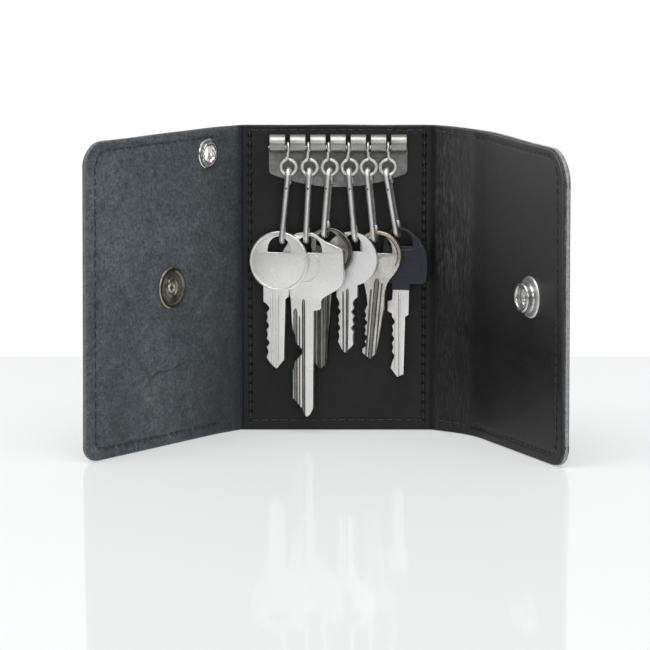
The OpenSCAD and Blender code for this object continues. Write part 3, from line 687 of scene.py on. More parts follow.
def mask_left(s, z, k):
    # channel 0 is painted shade, darker near the crease to the centre panel and towards the bottom
    fold_and_low_shade = 0.5 * smooth01(1 - (s - HW) / 4.5) + 0.48 * smooth01(1 - (s - HW) / 40) + 0.30 * smooth01(1 - z / 70)
    end = max(smooth01((s - LEND + 1.6) / 1.6), smooth01((z - H + 2.3) / 1.8), smooth01((1.3 - z) / 1.3)) if s > HW + 2 else 0
    vein = smooth01(1 - abs(s - 72) / 26) * smooth01(1 - abs(z - 27) / 26)
    return (min(0.9, fold_and_low_shade) if k <= 1 else 0.0, end * 0.55 if k <= 1 else 0, vein)


def mask_lining(s, z, k):
    # the strip is worn most in its upper third
    w = smooth01((s - HW - 0.6) / 1.5) * smooth01((RC2 + 3 - s) / 4) * (0.3 + 0.7 * smooth01((z - 45) / 22))
    # painted shade: dark is a darker strip along the crease at the panel's edge and a fainter one beside the centre
    # seam
    dark = math.exp(-((s - HW) / 0.9) ** 2) + 0.5 * math.exp(-((s - 30.4) / 0.5) ** 2)
    return (w, min(1, dark), 0.0)


lim_l = lambda s: outline(s, LC2, LEND - LC2, 0.5, 8.5, 5.5)


def lim_r(s):
    lo, hi = outline(s, RC2, RW - RSP, 2.2, 12, 7)
    return lo, hi - 0.5 * math.exp(-((s - RC2) / 8) ** 2)

LM, RM = HW + LSP / 2, HW + RSP / 2
three = [M_SUEDE, M_EDGE, M_OUTER]
three_l = [M_SUEDE, M_EDGE_L, M_OUTER]
lin3 = [M_LINING, M_LEDGE, M_SUEDE]

left_a = leather("outer_leather_left_fold", LEFT, 0, LT, 0.0, LM, lim_l, three, [HW, LM], din=din_left, dout=dout_any, mask=mask_left)
left_b = leather("outer_leather_left_flap", LEFT, 0, LT, LM, LEND, lim_l, three_l, [LM, LC2, LEND], end_round=True, e=0.3, din=din_left, dout=dout_any, mask=mask_left,
                 lines=[SEAM_L], curve_end=(LEND, 8.5))


def punch(o, path, x, z, r):
    """Cuts a round hole through the leather."""
    v, f = [], []
    n = 48
    for j, y in enumerate((-2.0, 5.0)):
        v += [(r * math.cos(2 * math.pi * k / n), y, r * math.sin(2 * math.pi * k / n)) for k in range(n)]
    f = [tuple(range(n)), tuple(range(2 * n - 1, n - 1, -1))] + [(k, (k + 1) % n, (k + 1) % n + n, k + n) for k in range(n)]
    T, Nn = path.axes(path.c[1] + x)
    q = path.frame(path.c[1] + x, 0, z, False)
    v = np.array(v)
    v = q + v[:, :1] * T + v[:, 1:2] * Nn + v[:, 2:3] * np.array([0, 0, 1.0])
    c = make("cut", v, f, M_EDGE)
    md = o.modifiers.new("c", "BOOLEAN")
    md.operation, md.object, md.solver = "DIFFERENCE", c, "EXACT"
    new = evaluated(o)
    o.modifiers.clear()
    o.data = new
    bpy.data.objects.remove(c)


EX, EZ, SX, SZ, TX = 16.6 - LSP, 97.3, 36.2 - LSP, 53.5, 60.45 - RSP
punch(left_b, LEFT, EX, EZ, 3.04)
right_a = leather("outer_leather_right_fold", RIGHT, IT + 0.02, IT + LT, 0.0, RM, lim_r, three, [HW, RM], dout=dout_any, mask=lambda s, z, k: (0, 0, 0))
right_b = leather("outer_leather_right_flap", RIGHT, IT + 0.02, IT + LT, RM, REND, lim_r, three, [RC2 - 6, RC2, RC2 + 6, REND], end_round=True, dout=dout_any,
                  mask=lambda s, z, k: (0, 0, 0), curve_end=(REND, 12))
lim_lining = lambda s: (lim_r(s)[0] + 0.12, lim_r(s)[1] - 0.25)
lining_a = leather("lining_right_fold", RIGHT, 0, IT, -HW + 0.3, RM, lim_lining, lin3, [-HW, HW, RM], start_round=True, e=0.22, lines=[-29.95, 29.95],
                   din=din_lining, mask=mask_lining)
lining_b = leather("lining_right_flap_sheet", RIGHT, 0, IT, RM, REND - 0.35, lim_lining, lin3, [RC2 - 6, RC2, RC2 + 6, REND], end_round=True, e=0.22, lines=[SEAM_R],
                   din=din_lining, mask=mask_lining, curve_end=(REND - 0.35, 12))


def cross(path, i, reach_in, reach_out):
    """Two points either side of a crease, along the middle of its turn."""
    a = (path.a[i] + path.a[i + 1]) / 2
    d = np.array([math.cos(a), -math.sin(a)])
    p, q = path.p[i] - reach_in * d, path.p[i] + reach_out * d
    return [(path.side * v[0] * S, v[1] * S, 0.0) for v in (p, q)]


for piece, bodies, path, i, reach, nodes, sl in (
        (left_a, ("centre_panel", "left_spine"), LEFT, 0, (1.8, 1.8), ("outer_centre", "bend_left_inner", "outer_left_spine"), "outer_leather"),
        (left_b, ("left_spine", "left_flap"), LEFT, 1, (3.0, 0.4), ("outer_left_flap", "bend_left_outer"), "flesh_side"),
        (right_a, ("centre_panel", "right_spine"), RIGHT, 0, (1.8, 1.8), ("bend_right_inner", "outer_right_spine"), "outer_leather"),
        (right_b, ("right_spine", "right_flap"), RIGHT, 1, (8.0, 8.0), ("outer_right_flap", "bend_right_outer"), "outer_leather"),
        (lining_a, ("centre_panel", "right_spine"), RIGHT, 0, (1.8, 1.8), ("lining_centre", "lining_bend_inner", "lining_right_spine"), "lining_leather"),
        (lining_b, ("right_spine", "right_flap"), RIGHT, 1, (8.0, 8.0), ("lining_right_flap", "lining_bend_outer"), "lining_leather")):
    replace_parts(piece, *nodes)
    a, b = cross(path, i, *reach)
    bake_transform(piece)


# ---- stitches -------------------------------------------------------------------
def one_stitch(path, s0, z0, s1, z1, face, up=0.24, r=0.22, n=8, m=9):
    """A two-ply thread from one hole to the next. face is 0 on the inside or the y of the outer face."""
    verts = []
    tw = random.uniform(0, 6.28)
    for i in range(m):
        t = i / (m - 1)
        s, z = s0 + (s1 - s0) * t, z0 + (z1 - z0) * t
        h = up * (math.sin(math.pi * (0.04 + 0.92 * t)) ** 0.6) - 0.18
        rr = r * (0.55 + 0.45 * math.sin(math.pi * (0.1 + 0.8 * t)) ** 0.5)
        T, Nn = path.axes(s)
        side = 1 if face else -1
        d = T * (s1 - s0) * 1.0 + np.array([0, 0, 1.0]) * (z1 - z0)
        d /= np.linalg.norm(d)
        out = Nn * side
        b = np.cross(d, out)
        c = path.frame(s, face, z) + out * h
        for k in range(n):
            a = 2 * math.pi * k / n
            q = rr * (1 + 0.2 * math.cos(2 * a + tw + 7 * t))
            verts.append(c + q * (math.cos(a) * out + math.sin(a) * b))
    faces = []
    for i in range(m - 1):
        for k in range(n):
            a, b2 = i * n + k, i * n + (k + 1) % n
            faces.append((a, b2, b2 + n, a + n))
    faces += [tuple(range(n)), tuple((m - 1) * n + k for k in range(n))]
    return np.array(verts), faces


def seam(path, pts, face, pitch=3.3, gap=0.95, skip=None):
    parts = []
    for (a0, b0), (a1, b1) in zip(pts, pts[1:]):
        L = math.hypot(a1 - a0, b1 - b0)
        k = max(1, round(L / pitch))
        p = L / k
        for i in range(k):
            t0, t1 = (i * p + gap / 2) / L, ((i + 1) * p - gap / 2) / L
            j = [random.uniform(-0.10, 0.10) for _ in range(4)]
            s0, z0 = a0 + (a1 - a0) * t0 + j[0], b0 + (b1 - b0) * t0 + j[1]
            s1, z1 = a0 + (a1 - a0) * t1 + j[2], b0 + (b1 - b0) * t1 + j[3]
            if skip and skip((s0 + s1) / 2, (z0 + z1) / 2):
                continue
            parts.append(one_stitch(path, s0, z0, s1, z1, face))
    return parts


def seam_piece(name, parts, body, nodes=()):
    v, f = merge(parts)
    o = make(name, v, f, M_THREAD, angle=60)
    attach(o, body)
    if nodes:
        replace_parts(o, *nodes)
    return o


near_plate = lambda s, z: False
seam_piece("stitches_centre_inside", seam(RIGHT, SEAM_CENTRE, 0, skip=near_plate), "centre_panel", ("stitches_centre",))
seam_piece("stitches_centre_outside", seam(RIGHT, SEAM_CENTRE, IT + LT), "centre_panel")
seam_piece("stitches_left_inside", seam(LEFT, SEAM_LEFT, 0), "left_flap", ("stitches_left_flap",))
seam_piece("stitches_left_outside", seam(LEFT, SEAM_LEFT, LT), "left_flap")
seam_piece("stitches_right_inside", seam(RIGHT, SEAM_RIGHT, 0), "right_flap", ("stitches_right_flap",))
seam_piece("stitches_right_outside", seam(RIGHT, SEAM_RIGHT, IT + LT), "right_flap")
sp = [seam(RIGHT, [(HW + 2.2, z), (RC2 - 1.4, z2)], f) for z, z2 in ((3.6, 3.6), (H - 2.0, H - 3.2)) for f in (0, IT + LT)]
seam_piece("stitches_right_spine", sum(sp, []), "right_spine")


# ---- turned hardware --------------------------------------------------------------
def on_flap(path, x, z, v, y0=0.0):
    """Puts turned points, axis y, on a flap. x is the distance from the second crease."""
    s = path.c[1] + x
    T, Nn = path.axes(s)
    o = path.frame(s, y0, z, False)
    v = np.asarray(v)
    return o + v[:, :1] * T + v[:, 1:2] * Nn + v[:, 2:3] * np.array([0, 0, 1.0])


def turned(name, prof, path, x, z, mat, body, nodes, y0=0.0, r=0.1, n=96, mod=None, angle=40):
    v, f = lathe(round_profile(prof, r), n, mod)
    o = make(name, on_flap(path, x, z, v, y0), f, mat, angle=angle)
    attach(o, body)
    if nodes:
        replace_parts(o, *nodes)
    return o


EX, EZ, SX, SZ, TX = 16.6 - LSP, 97.3, 36.2 - LSP, 53.5, 60.45 - RSP


def petals(t, j, r, y):
    if y < -0.35 and r < 3.8:
        k = 0.10 * math.sin(7 * t) + 0.07 * math.sin(11 * t + 1) + 0.05 * math.sin(17 * t + 2)
        return r + k * 0.8, y + 0.4 * k
    return r, y


turned("eyelet_barrel", [(2.52, 0.2), (2.62, -0.4), (2.9, -0.85), (3.3, -1.0), (3.65, -0.85), (3.7, -0.58), (3.1, -0.5), (3.1, 1.9), (5, 1.9), (5, 2.25), (4.6, 2.45), (3.6, 2.5), (2.95, 2.3), (2.6, 1.8), (2.52, 1.1)],
       LEFT, EX, EZ, M_BRIGHT, "left_flap", ("eyelet",), r=0.16, mod=petals, n=132)
turned("eyelet_washer_ring", [(3.12, 0), (5.1, 0), (5.12, -0.15), (4.85, -0.42), (4.3, -0.56), (3.7, -0.5), (3.12, -0.42)],
       LEFT, EX, EZ, M_BRIGHT, "left_flap", ("eyelet_washer",), r=0.12)


def knurl(t, j, r, y):
    if 3.4 < r < 5.4 and y < -0.1:
        return r, y - 0.03 * math.cos(2 * math.pi * (r - 3.4) / 0.5)
    return r, y


cup = [(0.02, 0.55), (0.75, 0.55), (0.95, -0.1), (1.3, -0.28), (1.75, -0.1), (2.0, 0.25), (2.25, 0.25), (2.45, -0.4), (2.8, -0.66), (3.25, -0.4)]
cup += [(3.4 + 0.125 * i, -0.30 + (0.07 if i % 2 else 0.0)) for i in range(1, 16)]
cup += [(5.5, -0.42), (5.9, -0.72), (6.7, -0.72), (7.15, -0.35), (7.15, 0), (2.2, 0.42), (2.2, 2.3), (1.2, 2.3), (1.2, 0.85), (0.02, 0.85)]
cap = turned("socket_inner_cap", cup, LEFT, SX, SZ, M_AGED, "left_flap", ("socket_post",), r=0.09)
cap.data.materials.append(M_CUP)
cap.data.materials.append(M_RIMA)
q = LEFT.frame(LEFT.c[1] + SX, 0, SZ, False) * S
Tn, Nn = LEFT.axes(LEFT.c[1] + SX)
for p in cap.data.polygons:
    d = np.array(p.center) - q
    rr = math.hypot(np.dot(d, Tn), d[2]) / S
    p.material_index = 1 if rr < 2.35 else (2 if rr > 6.85 else 0)
turned("snap_socket_body", [(2.25, 0), (6.9, 0), (6.95, 0.5), (6.75, 0.75), (6.6, 1.6), (6.35, 2.9), (5.95, 3.3), (5.5, 3.25), (5.45, 2.6), (5.6, 2.2), (5.45, 1.8), (5.45, 0.4), (2.25, 0.4)],
       LEFT, SX, SZ, M_BRIGHT, "left_flap", ("snap_socket",), y0=LT, r=0.2)
ring_pts = [(5.3 * math.cos(rad(t)), 1.5, 5.3 * math.sin(rad(t))) for t in range(20, 341, 8)]
v, f = tube(ring_pts, 0.16, 8)
o = make("socket_spring_wire", on_flap(LEFT, SX, SZ, v, LT), f, M_BRIGHT)
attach(o, "left_flap"), o
stud = [(2.25, 0), (7, 0), (7.02, -0.3), (6.75, -0.68), (6.1, -0.8), (5.2, -0.75), (4.75, -0.95), (4.55, -1.4), (4.55, -2.0), (4.85, -2.4), (5.05, -2.8), (5.05, -3.3), (4.7, -3.78),
        (4.2, -3.85), (3.75, -3.6), (3.6, -3.0), (3.45, -1.5), (3.2, -1.2), (2.25, -1.2)]
stud = turned("snap_stud_body", stud, RIGHT, TX, SZ, M_STUD, "right_flap", ("snap_stud",), r=0.2)
stud.data.materials.append(M_NICKEL)
stud.data.materials.append(M_AGED)
q = RIGHT.frame(RIGHT.c[1] + TX, 0, SZ, False) * S
Tn, Nn = RIGHT.axes(RIGHT.c[1] + TX)
for p in stud.data.polygons:
    d = np.array(p.center) - q
    rr, yy = math.hypot(np.dot(d, Tn), d[2]) / S, np.dot(d, Nn) / S
    p.material_index = 1 if yy > -0.9 and rr > 4.9 else (2 if -2.6 < yy < -1.8 and rr > 4.4 else 0)
post = [(0.02, 2.3), (0.9, 2.3), (1.1, -1.5), (1.4, -1.9), (1.9, -1.9), (2.2, -1.55), (2.2, 2.9), (7.5, 2.9), (7.5, 3.25), (7.1, 3.75), (6, 4.15), (3.5, 4.65), (0.02, 4.8)]
turned("stud_cap_dome", post, RIGHT, TX, SZ, M_BRIGHT, "right_flap", ("stud_cap",), r=0.15)

# ---- key plate ---------------------------------------------------------------------
PX, BY, BZ = 0.35, YI - 3.15, 100.0
RY, RZ = YI - 3.7, BZ - 1.3
SLOTS = [PX + (i - 2.5) * 6.9 for i in range(6)]


def sheet_metal(name, loops, t, bevel, y=0.0, res=3, idx=0):
    """A flat plate in the x, z plane with holes and rounded edges, t thick, its middle at y."""
    cu = bpy.data.curves.new(name, "CURVE")
    cu.dimensions = "2D"
    cu.fill_mode = "BOTH"
    cu.extrude = (t / 2 - bevel) * S
    cu.bevel_depth = bevel * S
    cu.bevel_resolution = res
    cu.offset = -bevel * S
    for loop in loops:
        sp = cu.splines.new("POLY")
        sp.points.add(len(loop) - 1)
        for q, (x, z) in zip(sp.points, loop):
            q.co = (x * S, z * S, 0, 1)
        sp.use_cyclic_u = True
    o = bpy.data.objects.new(name, cu)
    coll.objects.link(o)
    me = evaluated(o)
    bpy.data.objects.remove(o)
    me.transform(Matrix.Rotation(rad(90), 4, "X"))
    me.transform(Matrix.Translation((0, y * S, 0)))
    bm = bmesh.new()
    bm.from_mesh(me)
    bmesh.ops.remove_doubles(bm, verts=bm.verts, dist=2e-7)
    bmesh.ops.recalc_face_normals(bm, faces=bm.faces)
    for f in bm.faces:
        f.material_index = idx
    bm.to_mesh(me)
    bm.free()
    return me


def arc(cx, cz, r, a0, a1, n=40):
    return [(cx + r * math.cos(rad(a0 + (a1 - a0) * i / n)), cz + r * math.sin(rad(a0 + (a1 - a0) * i / n))) for i in range(n + 1)]


def ang(cx, cz, x, z):
    return math.degrees(math.atan2(z - cz, x - cx))


R_PLATE = (23.75 ** 2 + 4.8 ** 2) / 9.6
low = arc(PX, 84.8 + R_PLATE, R_PLATE, -90 + math.degrees(math.asin(23.1 / R_PLATE)), -90 - math.degrees(math.asin(23.1 / R_PLATE)), 60)
sheet = sheet_metal("sheet", [[(PX - 23.75, 98.3), (PX + 23.75, 98.3), (PX + 23.75, 90.2)] + low + [(PX - 23.75, 90.2)]], 0.8, 0.14, y=YI - 0.4)
bm = bmesh.new()
bm.from_mesh(sheet)
edges = [PX - 23.45] + sum([[x - 0.78, x + 0.78] for x in SLOTS], []) + [PX + 23.45]
for i in range(7):
    x0, x1 = edges[2 * i], edges[2 * i + 1]
    v, f = lathe(round_profile([(2.3, x0), (2.3, x1), (3.1, x1), (3.1, x0)], 0.22, 4), 64, lambda t, j, r, y: (r + 0.02 * math.sin(3 * t + y), y))
    seg = bpy.data.meshes.new("seg")
    # the roll wraps over the rod; its axis runs along x
    seg.from_pydata([(q[1] * S, (BY - q[0]) * S, (BZ + q[2]) * S) for q in v], [], f)
    k0 = len(bm.faces)
    bm.from_mesh(seg)
    bm.faces.ensure_lookup_table()
    for q in bm.faces[k0:]:
        q.material_index = 1
bmesh.ops.recalc_face_normals(bm, faces=bm.faces)
me = bpy.data.meshes.new("key_plate_sheet")
bm.to_mesh(me)
bm.free()
me.materials.append(M_PLATE)
me.materials.append(M_BARREL)
me.polygons.foreach_set("use_smooth", [True] * len(me.polygons))
me.set_sharp_from_angle(angle=rad(35))
plate = bpy.data.objects.new("key_plate_sheet", me)
coll.objects.link(plate)
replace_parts(plate, "key_plate"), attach(plate, "centre_panel"), plate
v, f = tube([(PX - 23.3 + i * 0.5, RY, RZ) for i in range(93)], 0.75, 20)
o = make("hinge_rod", v, f, M_NICKEL)
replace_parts(o, "ring_rod"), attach(o, "centre_panel"), o

# ---- rings, hooks and gates ----------------------------------------------------------
RDX = [0.25, 0.6, 0.6, 0.5, 0.15, -0.2]
RR, RWIRE, HWIRE, HH = 2.64, 0.61, 0.95, 2.2
RCY, RCZ = RY - 0.55, 92.0
HB = [(-18.9, -7.3, 66.6), (-10.6, -7.1, 66.6), (-4.1, -6.45, 68.4), (6.3, -6.6, 67), (13.1, -6.0, 66.9), (21, -5.2, 68.4)]
HYAW = [6, 6, 16, 8, 16, 16]


def rot(axis, a):
    return np.array(Matrix.Rotation(rad(a), 3, axis))


for i in range(6):
    k = i + 1
    cx = SLOTS[i] + RDX[i]
    d = -1 if i < 4 else 1
    er = 0.75 + RWIRE + 0.05
    pts = [(SLOTS[i], RY + er * math.sin(rad(t)), RZ + er * math.cos(rad(t))) for t in range(-150, 151, 20)]
    # round the rod from the back, over the top and down the front, then into the stalk
    pts = [(SLOTS[i] - 0.02 * j * d, RY - er * math.sin(rad(t)), RZ - er * math.cos(rad(t))) for j, t in enumerate(range(330, 20, -20))]
    pts += [(SLOTS[i], RCY - 0.12, RZ - er - 0.35), (SLOTS[i] + 0.0, RCY, RZ - er - 1.0), (SLOTS[i] + 0.10 * d, RCY, 95.45)]
    a0, a1 = (112, 440) if d < 0 else (68, -260)
    n = 36
    for j in range(n + 1):
        a = rad(a0 + (a1 - a0) * j / n)
        pts.append((cx + RR * math.cos(a), RCY - 0.28 * (j / n) ** 3, RCZ + RR * math.sin(a)))
    sp = spline(pts, 3)
    v, f = tube(sp, RWIRE, 16)
    o = make(f"swivel_ring_{k}", v, f, M_NICKEL, angle=60)
    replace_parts(o, f"ring_{k}"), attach(o, f"ring_{k}"), o
    # hook
    T, B = np.array((cx, RCY, RCZ - RR)), np.array(HB[i])
    L = np.linalg.norm(T - B)
    u = (T - B) / L
    R = rot("Y", math.degrees(math.atan2(u[0], u[2]))) @ rot("X", math.degrees(-math.asin(u[1]))) @ rot("Z", -HYAW[i])
    l = L + RWIRE + HWIRE + 0.25
    pz = l - 4.4
    W = lambda q: (np.asarray(q, float) @ R.T) + B
    h = [(0, HH, 4.4 - 0.35 * j) for j in range(0, 6)]
    h += [(0, HH * math.cos(rad(t)), HH - HH * math.sin(rad(t))) for t in range(0, 181, 12)]
    h += [(0, -HH, HH + 0.4 + (l - 2 * HH - 0.8) * j / 16) for j in range(17)]
    h += [(0, -HH * math.cos(rad(t)), l - HH + HH * math.sin(rad(t))) for t in range(0, 181, 12)]
    h += [(0, HH, l - HH - 0.5), (0, HH, pz + 1.3)]
    r = [HWIRE] * len(h)
    r[0], r[1] = HWIRE * 0.86, HWIRE * 0.96
    v, f = tube(h, r, 18)
    ears = []
    for sx in (-1, 1):
        prof = [(HH - 0.8, pz + 1.7), (HH + 0.8, pz + 1.7), (HH + 0.82, pz + 0.2)] + [(HH + 0.82 * math.cos(rad(a)), pz - 0.05 + 0.82 * math.sin(rad(a))) for a in range(-10, -171, -20)] + [(HH - 0.82, pz + 0.2)]
        m = len(prof)
        vv = [(sx * x, y, z) for x in (0.34, 0.78) for y, z in prof]
        ff = [tuple(range(m)), tuple(range(2 * m - 1, m - 1, -1))] + [(a, (a + 1) % m, (a + 1) % m + m, a + m) for a in range(m)]
        ears.append((vv, ff))
    pin = tube([(-0.72 + 0.24 * j, HH, pz) for j in range(7)], 0.32, 12)
    v, f = merge([(v, f)] + [(np.array(a), b) for a, b in ears] + [pin])
    o = make(f"sprung_hook_{k}", W(v), f, M_NICKEL, angle=50)
    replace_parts(o, f"hook_{k}"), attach(o, f"hook_{k}"), o
    # a small dark disc where the gate's spring is fixed: painted shade standing in for a dimple
    v, f = tube([(0, -HH - HWIRE + 0.12, l - 6.4), (0, -HH - HWIRE + 0.0, l - 6.4), (0, -HH - HWIRE - 0.02, l - 6.4)], [0.34, 0.32, 0.28], 14)
    o2 = make(f"hook_dimple_shade_{k}", W(v), f, M_DIMPLE_SHADE)
    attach(o2, f"hook_{k}"), o2
    # gate
    g = [(0, HH, 4.75 + 0.3), (0, HH, 5.6)] + [(0, HH, 5.6 + (pz - 1.4 - 5.6) * j / 10) for j in range(1, 11)]
    gr = [0.6, 0.66] + [0.66 + 0.03 * math.sin(2.4 * j) for j in range(1, 11)]
    v, f = tube(g, gr, 14)
    lug = [(HH + 0.7 * math.cos(rad(a)), pz + 0.7 * math.sin(rad(a))) for a in range(-20, 201, 20)] + [(HH - 0.55, pz - 1.7), (HH + 0.55, pz - 1.7)]
    m = len(lug)
    vv = [(x, y, z) for x in (-0.26, 0.26) for y, z in lug]
    ff = [tuple(range(m)), tuple(range(2 * m - 1, m - 1, -1))] + [(a, (a + 1) % m, (a + 1) % m + m, a + m) for a in range(m)]
    v, f = merge([(v, f), (np.array(vv), ff)])
    o3 = make(f"hook_gate_{k}", W(v), f, M_GATE, angle=50)
    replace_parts(o3, f"gate_{k}"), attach(o3, f"gate_{k}"), o3

# ---- keys ---------------------------------------------------------------------------------
RISE, YAW = 0.3, 14


def on_circle(cx, cz, r, x, sign=-1):
    return cz + sign * math.sqrt(r * r - (x - cx) ** 2)


def cuts(x, z, pitch, depths, d):
    out = []
    for i, q in enumerate(depths):
        out += [(x, z - i * pitch), (x + d * q, z - (i + 0.4) * pitch), (x + d * q, z - (i + 0.6) * pitch)]
    return out


def chaikin(p, n=2):
    for _ in range(n):
        q = [p[0]]
        for a, b in zip(p, p[1:]):
            q += [(0.75 * a[0] + 0.25 * b[0], 0.75 * a[1] + 0.25 * b[1]), (0.25 * a[0] + 0.75 * b[0], 0.25 * a[1] + 0.75 * b[1])]
        q.append(p[-1])
        p = q
    return p


def d_hole(cx, cz, r, x0, x1):
    """A hole with a flat bottom and an arched top."""
    m, w = (x0 + x1) / 2, (x1 - x0) / 2
    c = 0.5
    p = [(m + w * math.cos(rad(t)), cz + r * math.sin(rad(t)) ** 0.85) for t in range(6, 175, 4)]
    return p + [(x0, cz + c), (x0 + 0.15, cz + 0.12), (x0 + c, cz), (x1 - c, cz), (x1 - 0.15, cz + 0.12), (x1, cz + c)]


def cutter(x0, z0, x1, z1, w0, w1, depth, t, side, idx=2):
    """A milled groove from (x0, z0) to (x1, z1), round in section and at its top end. side -1 is the front."""
    f = side * t / 2
    n = 14
    verts, faces = [], []
    K = 9
    for i in range(n + 1):
        q = (i / n) ** 1.6
        x, z = x0 + (x1 - x0) * q, z0 + (z1 - z0) * q
        w = (w0 + (w1 - w0) * q) / 2
        run = min(1.0, (z0 - z) / (1.3 * w0) + 0.02)
        k = math.sqrt(max(0.02, 1 - (1 - run) ** 2))
        verts += [(x - w * k, f + side * 0.6, z)]
        for j in range(K):
            a = math.pi * j / (K - 1)
            verts.append((x - w * k * math.cos(a), f - side * depth * k * math.sin(a) ** 0.8 if 0 < j < K - 1 else f + side * 0.02, z))
        verts += [(x + w * k, f + side * 0.6, z)]
    m = K + 2
    for i in range(n):
        for k in range(m):
            a, b = i * m + k, i * m + (k + 1) % m
            faces.append((a, b, b + m, a + m))
    faces += [tuple(range(m)), tuple(n * m + k for k in range(m))]
    me = bpy.data.meshes.new("cut")
    me.from_pydata([tuple(c * S for c in q) for q in verts], [], faces)
    bm = bmesh.new()
    bm.from_mesh(me)
    bmesh.ops.recalc_face_normals(bm, faces=bm.faces)
    for q in bm.faces:
        q.material_index = idx
    bm.to_mesh(me)
    bm.free()
    for m in range(4):
        me.materials.append(M_KEY)
    return me


def key(k, name, body, base, t, layers, grooves, mats, nodes, angle=32):
    """base is the main outline with holes; layers are further plates. Material 1 is for the rims, 2 for grooves,
    darkened as painted shade, 3 for a still darker painted shade on some grooves and rims.
    """
    mats = (mats + [mats[0]])[:2] + [M_GROOVE_SHADE, M_DARKER_SHADE]
    for m in mats:
        base.materials.append(m)
    o = bpy.data.objects.new(name, base)
    coll.objects.link(o)
    for g in grooves:
        c = bpy.data.objects.new("cut", cutter(*g[:7], t, g[7], g[8] if len(g) > 8 else 2))
        coll.objects.link(c)
        md = o.modifiers.new("c", "BOOLEAN")
        md.operation, md.object, md.solver = "DIFFERENCE", c, "EXACT"
        new = evaluated(o)
        o.modifiers.clear()
        if len(new.polygons) > 20:
            o.data = new
        bpy.data.objects.remove(c)
    n = Vector((0, 1, 0))
    for p in o.data.polygons:
        if p.material_index < 2:
            p.material_index = 1 if abs(p.normal.dot(n)) < 0.75 else 0
    bm = bmesh.new()
    bm.from_mesh(o.data)
    for q in layers:
        bm.from_mesh(q)
    me = bpy.data.meshes.new(name)
    bm.to_mesh(me)
    bm.free()
    me.transform(Matrix.Translation([c * S for c in (HB[k][0], HB[k][1], HB[k][2] + RISE)]) @ Matrix.Rotation(rad(-YAW), 4, "Z"))
    o.data = me
    o.name = name
    for m in mats:
        me.materials.append(m)
    me.polygons.foreach_set("use_smooth", [True] * len(me.polygons))
    me.set_sharp_from_angle(angle=rad(angle))
    me.update()
    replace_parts(o, *nodes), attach(o, body), o
    return o


KT = 1.9
# key 1: round bow with a raised rim
c1 = (-1.0, -7.2, 10.35)
aL, aR = ang(c1[0], c1[1], -6.5, on_circle(*c1, -6.5)), ang(c1[0], c1[1], 2.3, on_circle(*c1, 2.3))
out1 = arc(*c1, aR, aL + 360 if aL < 0 else aL, 90)
out1 += [(-6.5, -21.3)] + cuts(-5.4, -22, 3, [1, 0.4, 0.8, 0.4, 1, 0.6], 1) + [(-5.4, -40.6), (-4.4, -42.2), (-2.2, -44.3), (-1.7, -44.3), (0.2, -42), (0.9, -41.2), (1.4, -20.2), (2.3, -19.4)]
h1 = d_hole(-0.7, -4.1, 5.55, -4.9, 3.1)
rim1 = sheet_metal("r", [arc(c1[0], c1[1], c1[2] - 0.2, 0, 356, 100), arc(c1[0], c1[1], c1[2] - 0.9, 356, 0, 100)], 0.3, 0.12, y=-KT / 2)
rim1b = sheet_metal("r", [arc(c1[0], c1[1], c1[2] - 0.05, 0, 356, 100), arc(c1[0], c1[1], c1[2] - 0.9, 356, 0, 100)], 0.24, 0.08, y=KT / 2)
key(0, "round_key_1", "key_1", sheet_metal("k1", [out1, h1], KT, 0.22), KT, [rim1, rim1b],
    [(-3.5, -18.2, -3.2, -43.2, 1.1, 0.9, 0.5, -1), (-1.5, -18.2, -1.5, -45, 1.3, 1.1, 0.6, -1), (-1.4, -18.4, -1.2, -43, 1.4, 1.4, 0.4, 1)], [M_KEY], ("key_1",))
# key 2: broad bow with a raised circle, long blade
head2 = chaikin([(5.6, -23), (5.6, -20.2), (6.6, -19.4), (9, -17.9), (11.6, -16.4), (12.9, -14.8), (13.4, -12.8), (13.4, -5), (13, -3.2), (12, -2.2), (9, -1), (5.9, 0.3), (3.7, 2.2), (1.5, 2.9), (-1.5, 2.8), (-4.6, 2.1),
                 (-6.6, -1.5), (-7.9, -3.4), (-9.4, -6.2), (-9.4, -11), (-7.6, -15.6), (-5.4, -19), (-5.2, -23), (-5, -28)], 2)
out2 = head2 + [(-4.6, -31), (-3.8, -33), (-3.6, -35.4), (-1.4, -37.6), (-1.4, -39.2), (-3.8, -42), (-4.6, -45), (-4.6, -54.8), (-1.2, -58.4), (-0.6, -60.4), (0.4, -61.2), (1.4, -60.4), (2.6, -58.2), (2.9, -24.2), (4.9, -23.8)]
h2 = d_hole(1.0, -4.1, 5.75, -3.6, 5.8)
# the raised circle stops at the hole
em = sheet_metal("r", [arc(-0.9, -8.6, 6.15, 136, 404, 90) + arc(-0.9, -8.6, 5.65, 404, 136, 90)], 0.34, 0.13, y=-KT / 2)
key(1, "long_key_2", "key_2", sheet_metal("k2", [out2, h2], KT, 0.22), KT, [em],
    [(-0.7, -20.2, -0.7, -62, 1.2, 1.2, 0.6, -1), (-3.6, -23.5, -3.5, -57, 1.5, 1.5, 0.55, -1), (-2.15, -26, -2.15, -60, 0.6, 0.6, 0.35, -1), (0.8, -24, 0.8, -58, 1.6, 1.6, 0.4, 1)], [M_KEY2], ("key_2",))
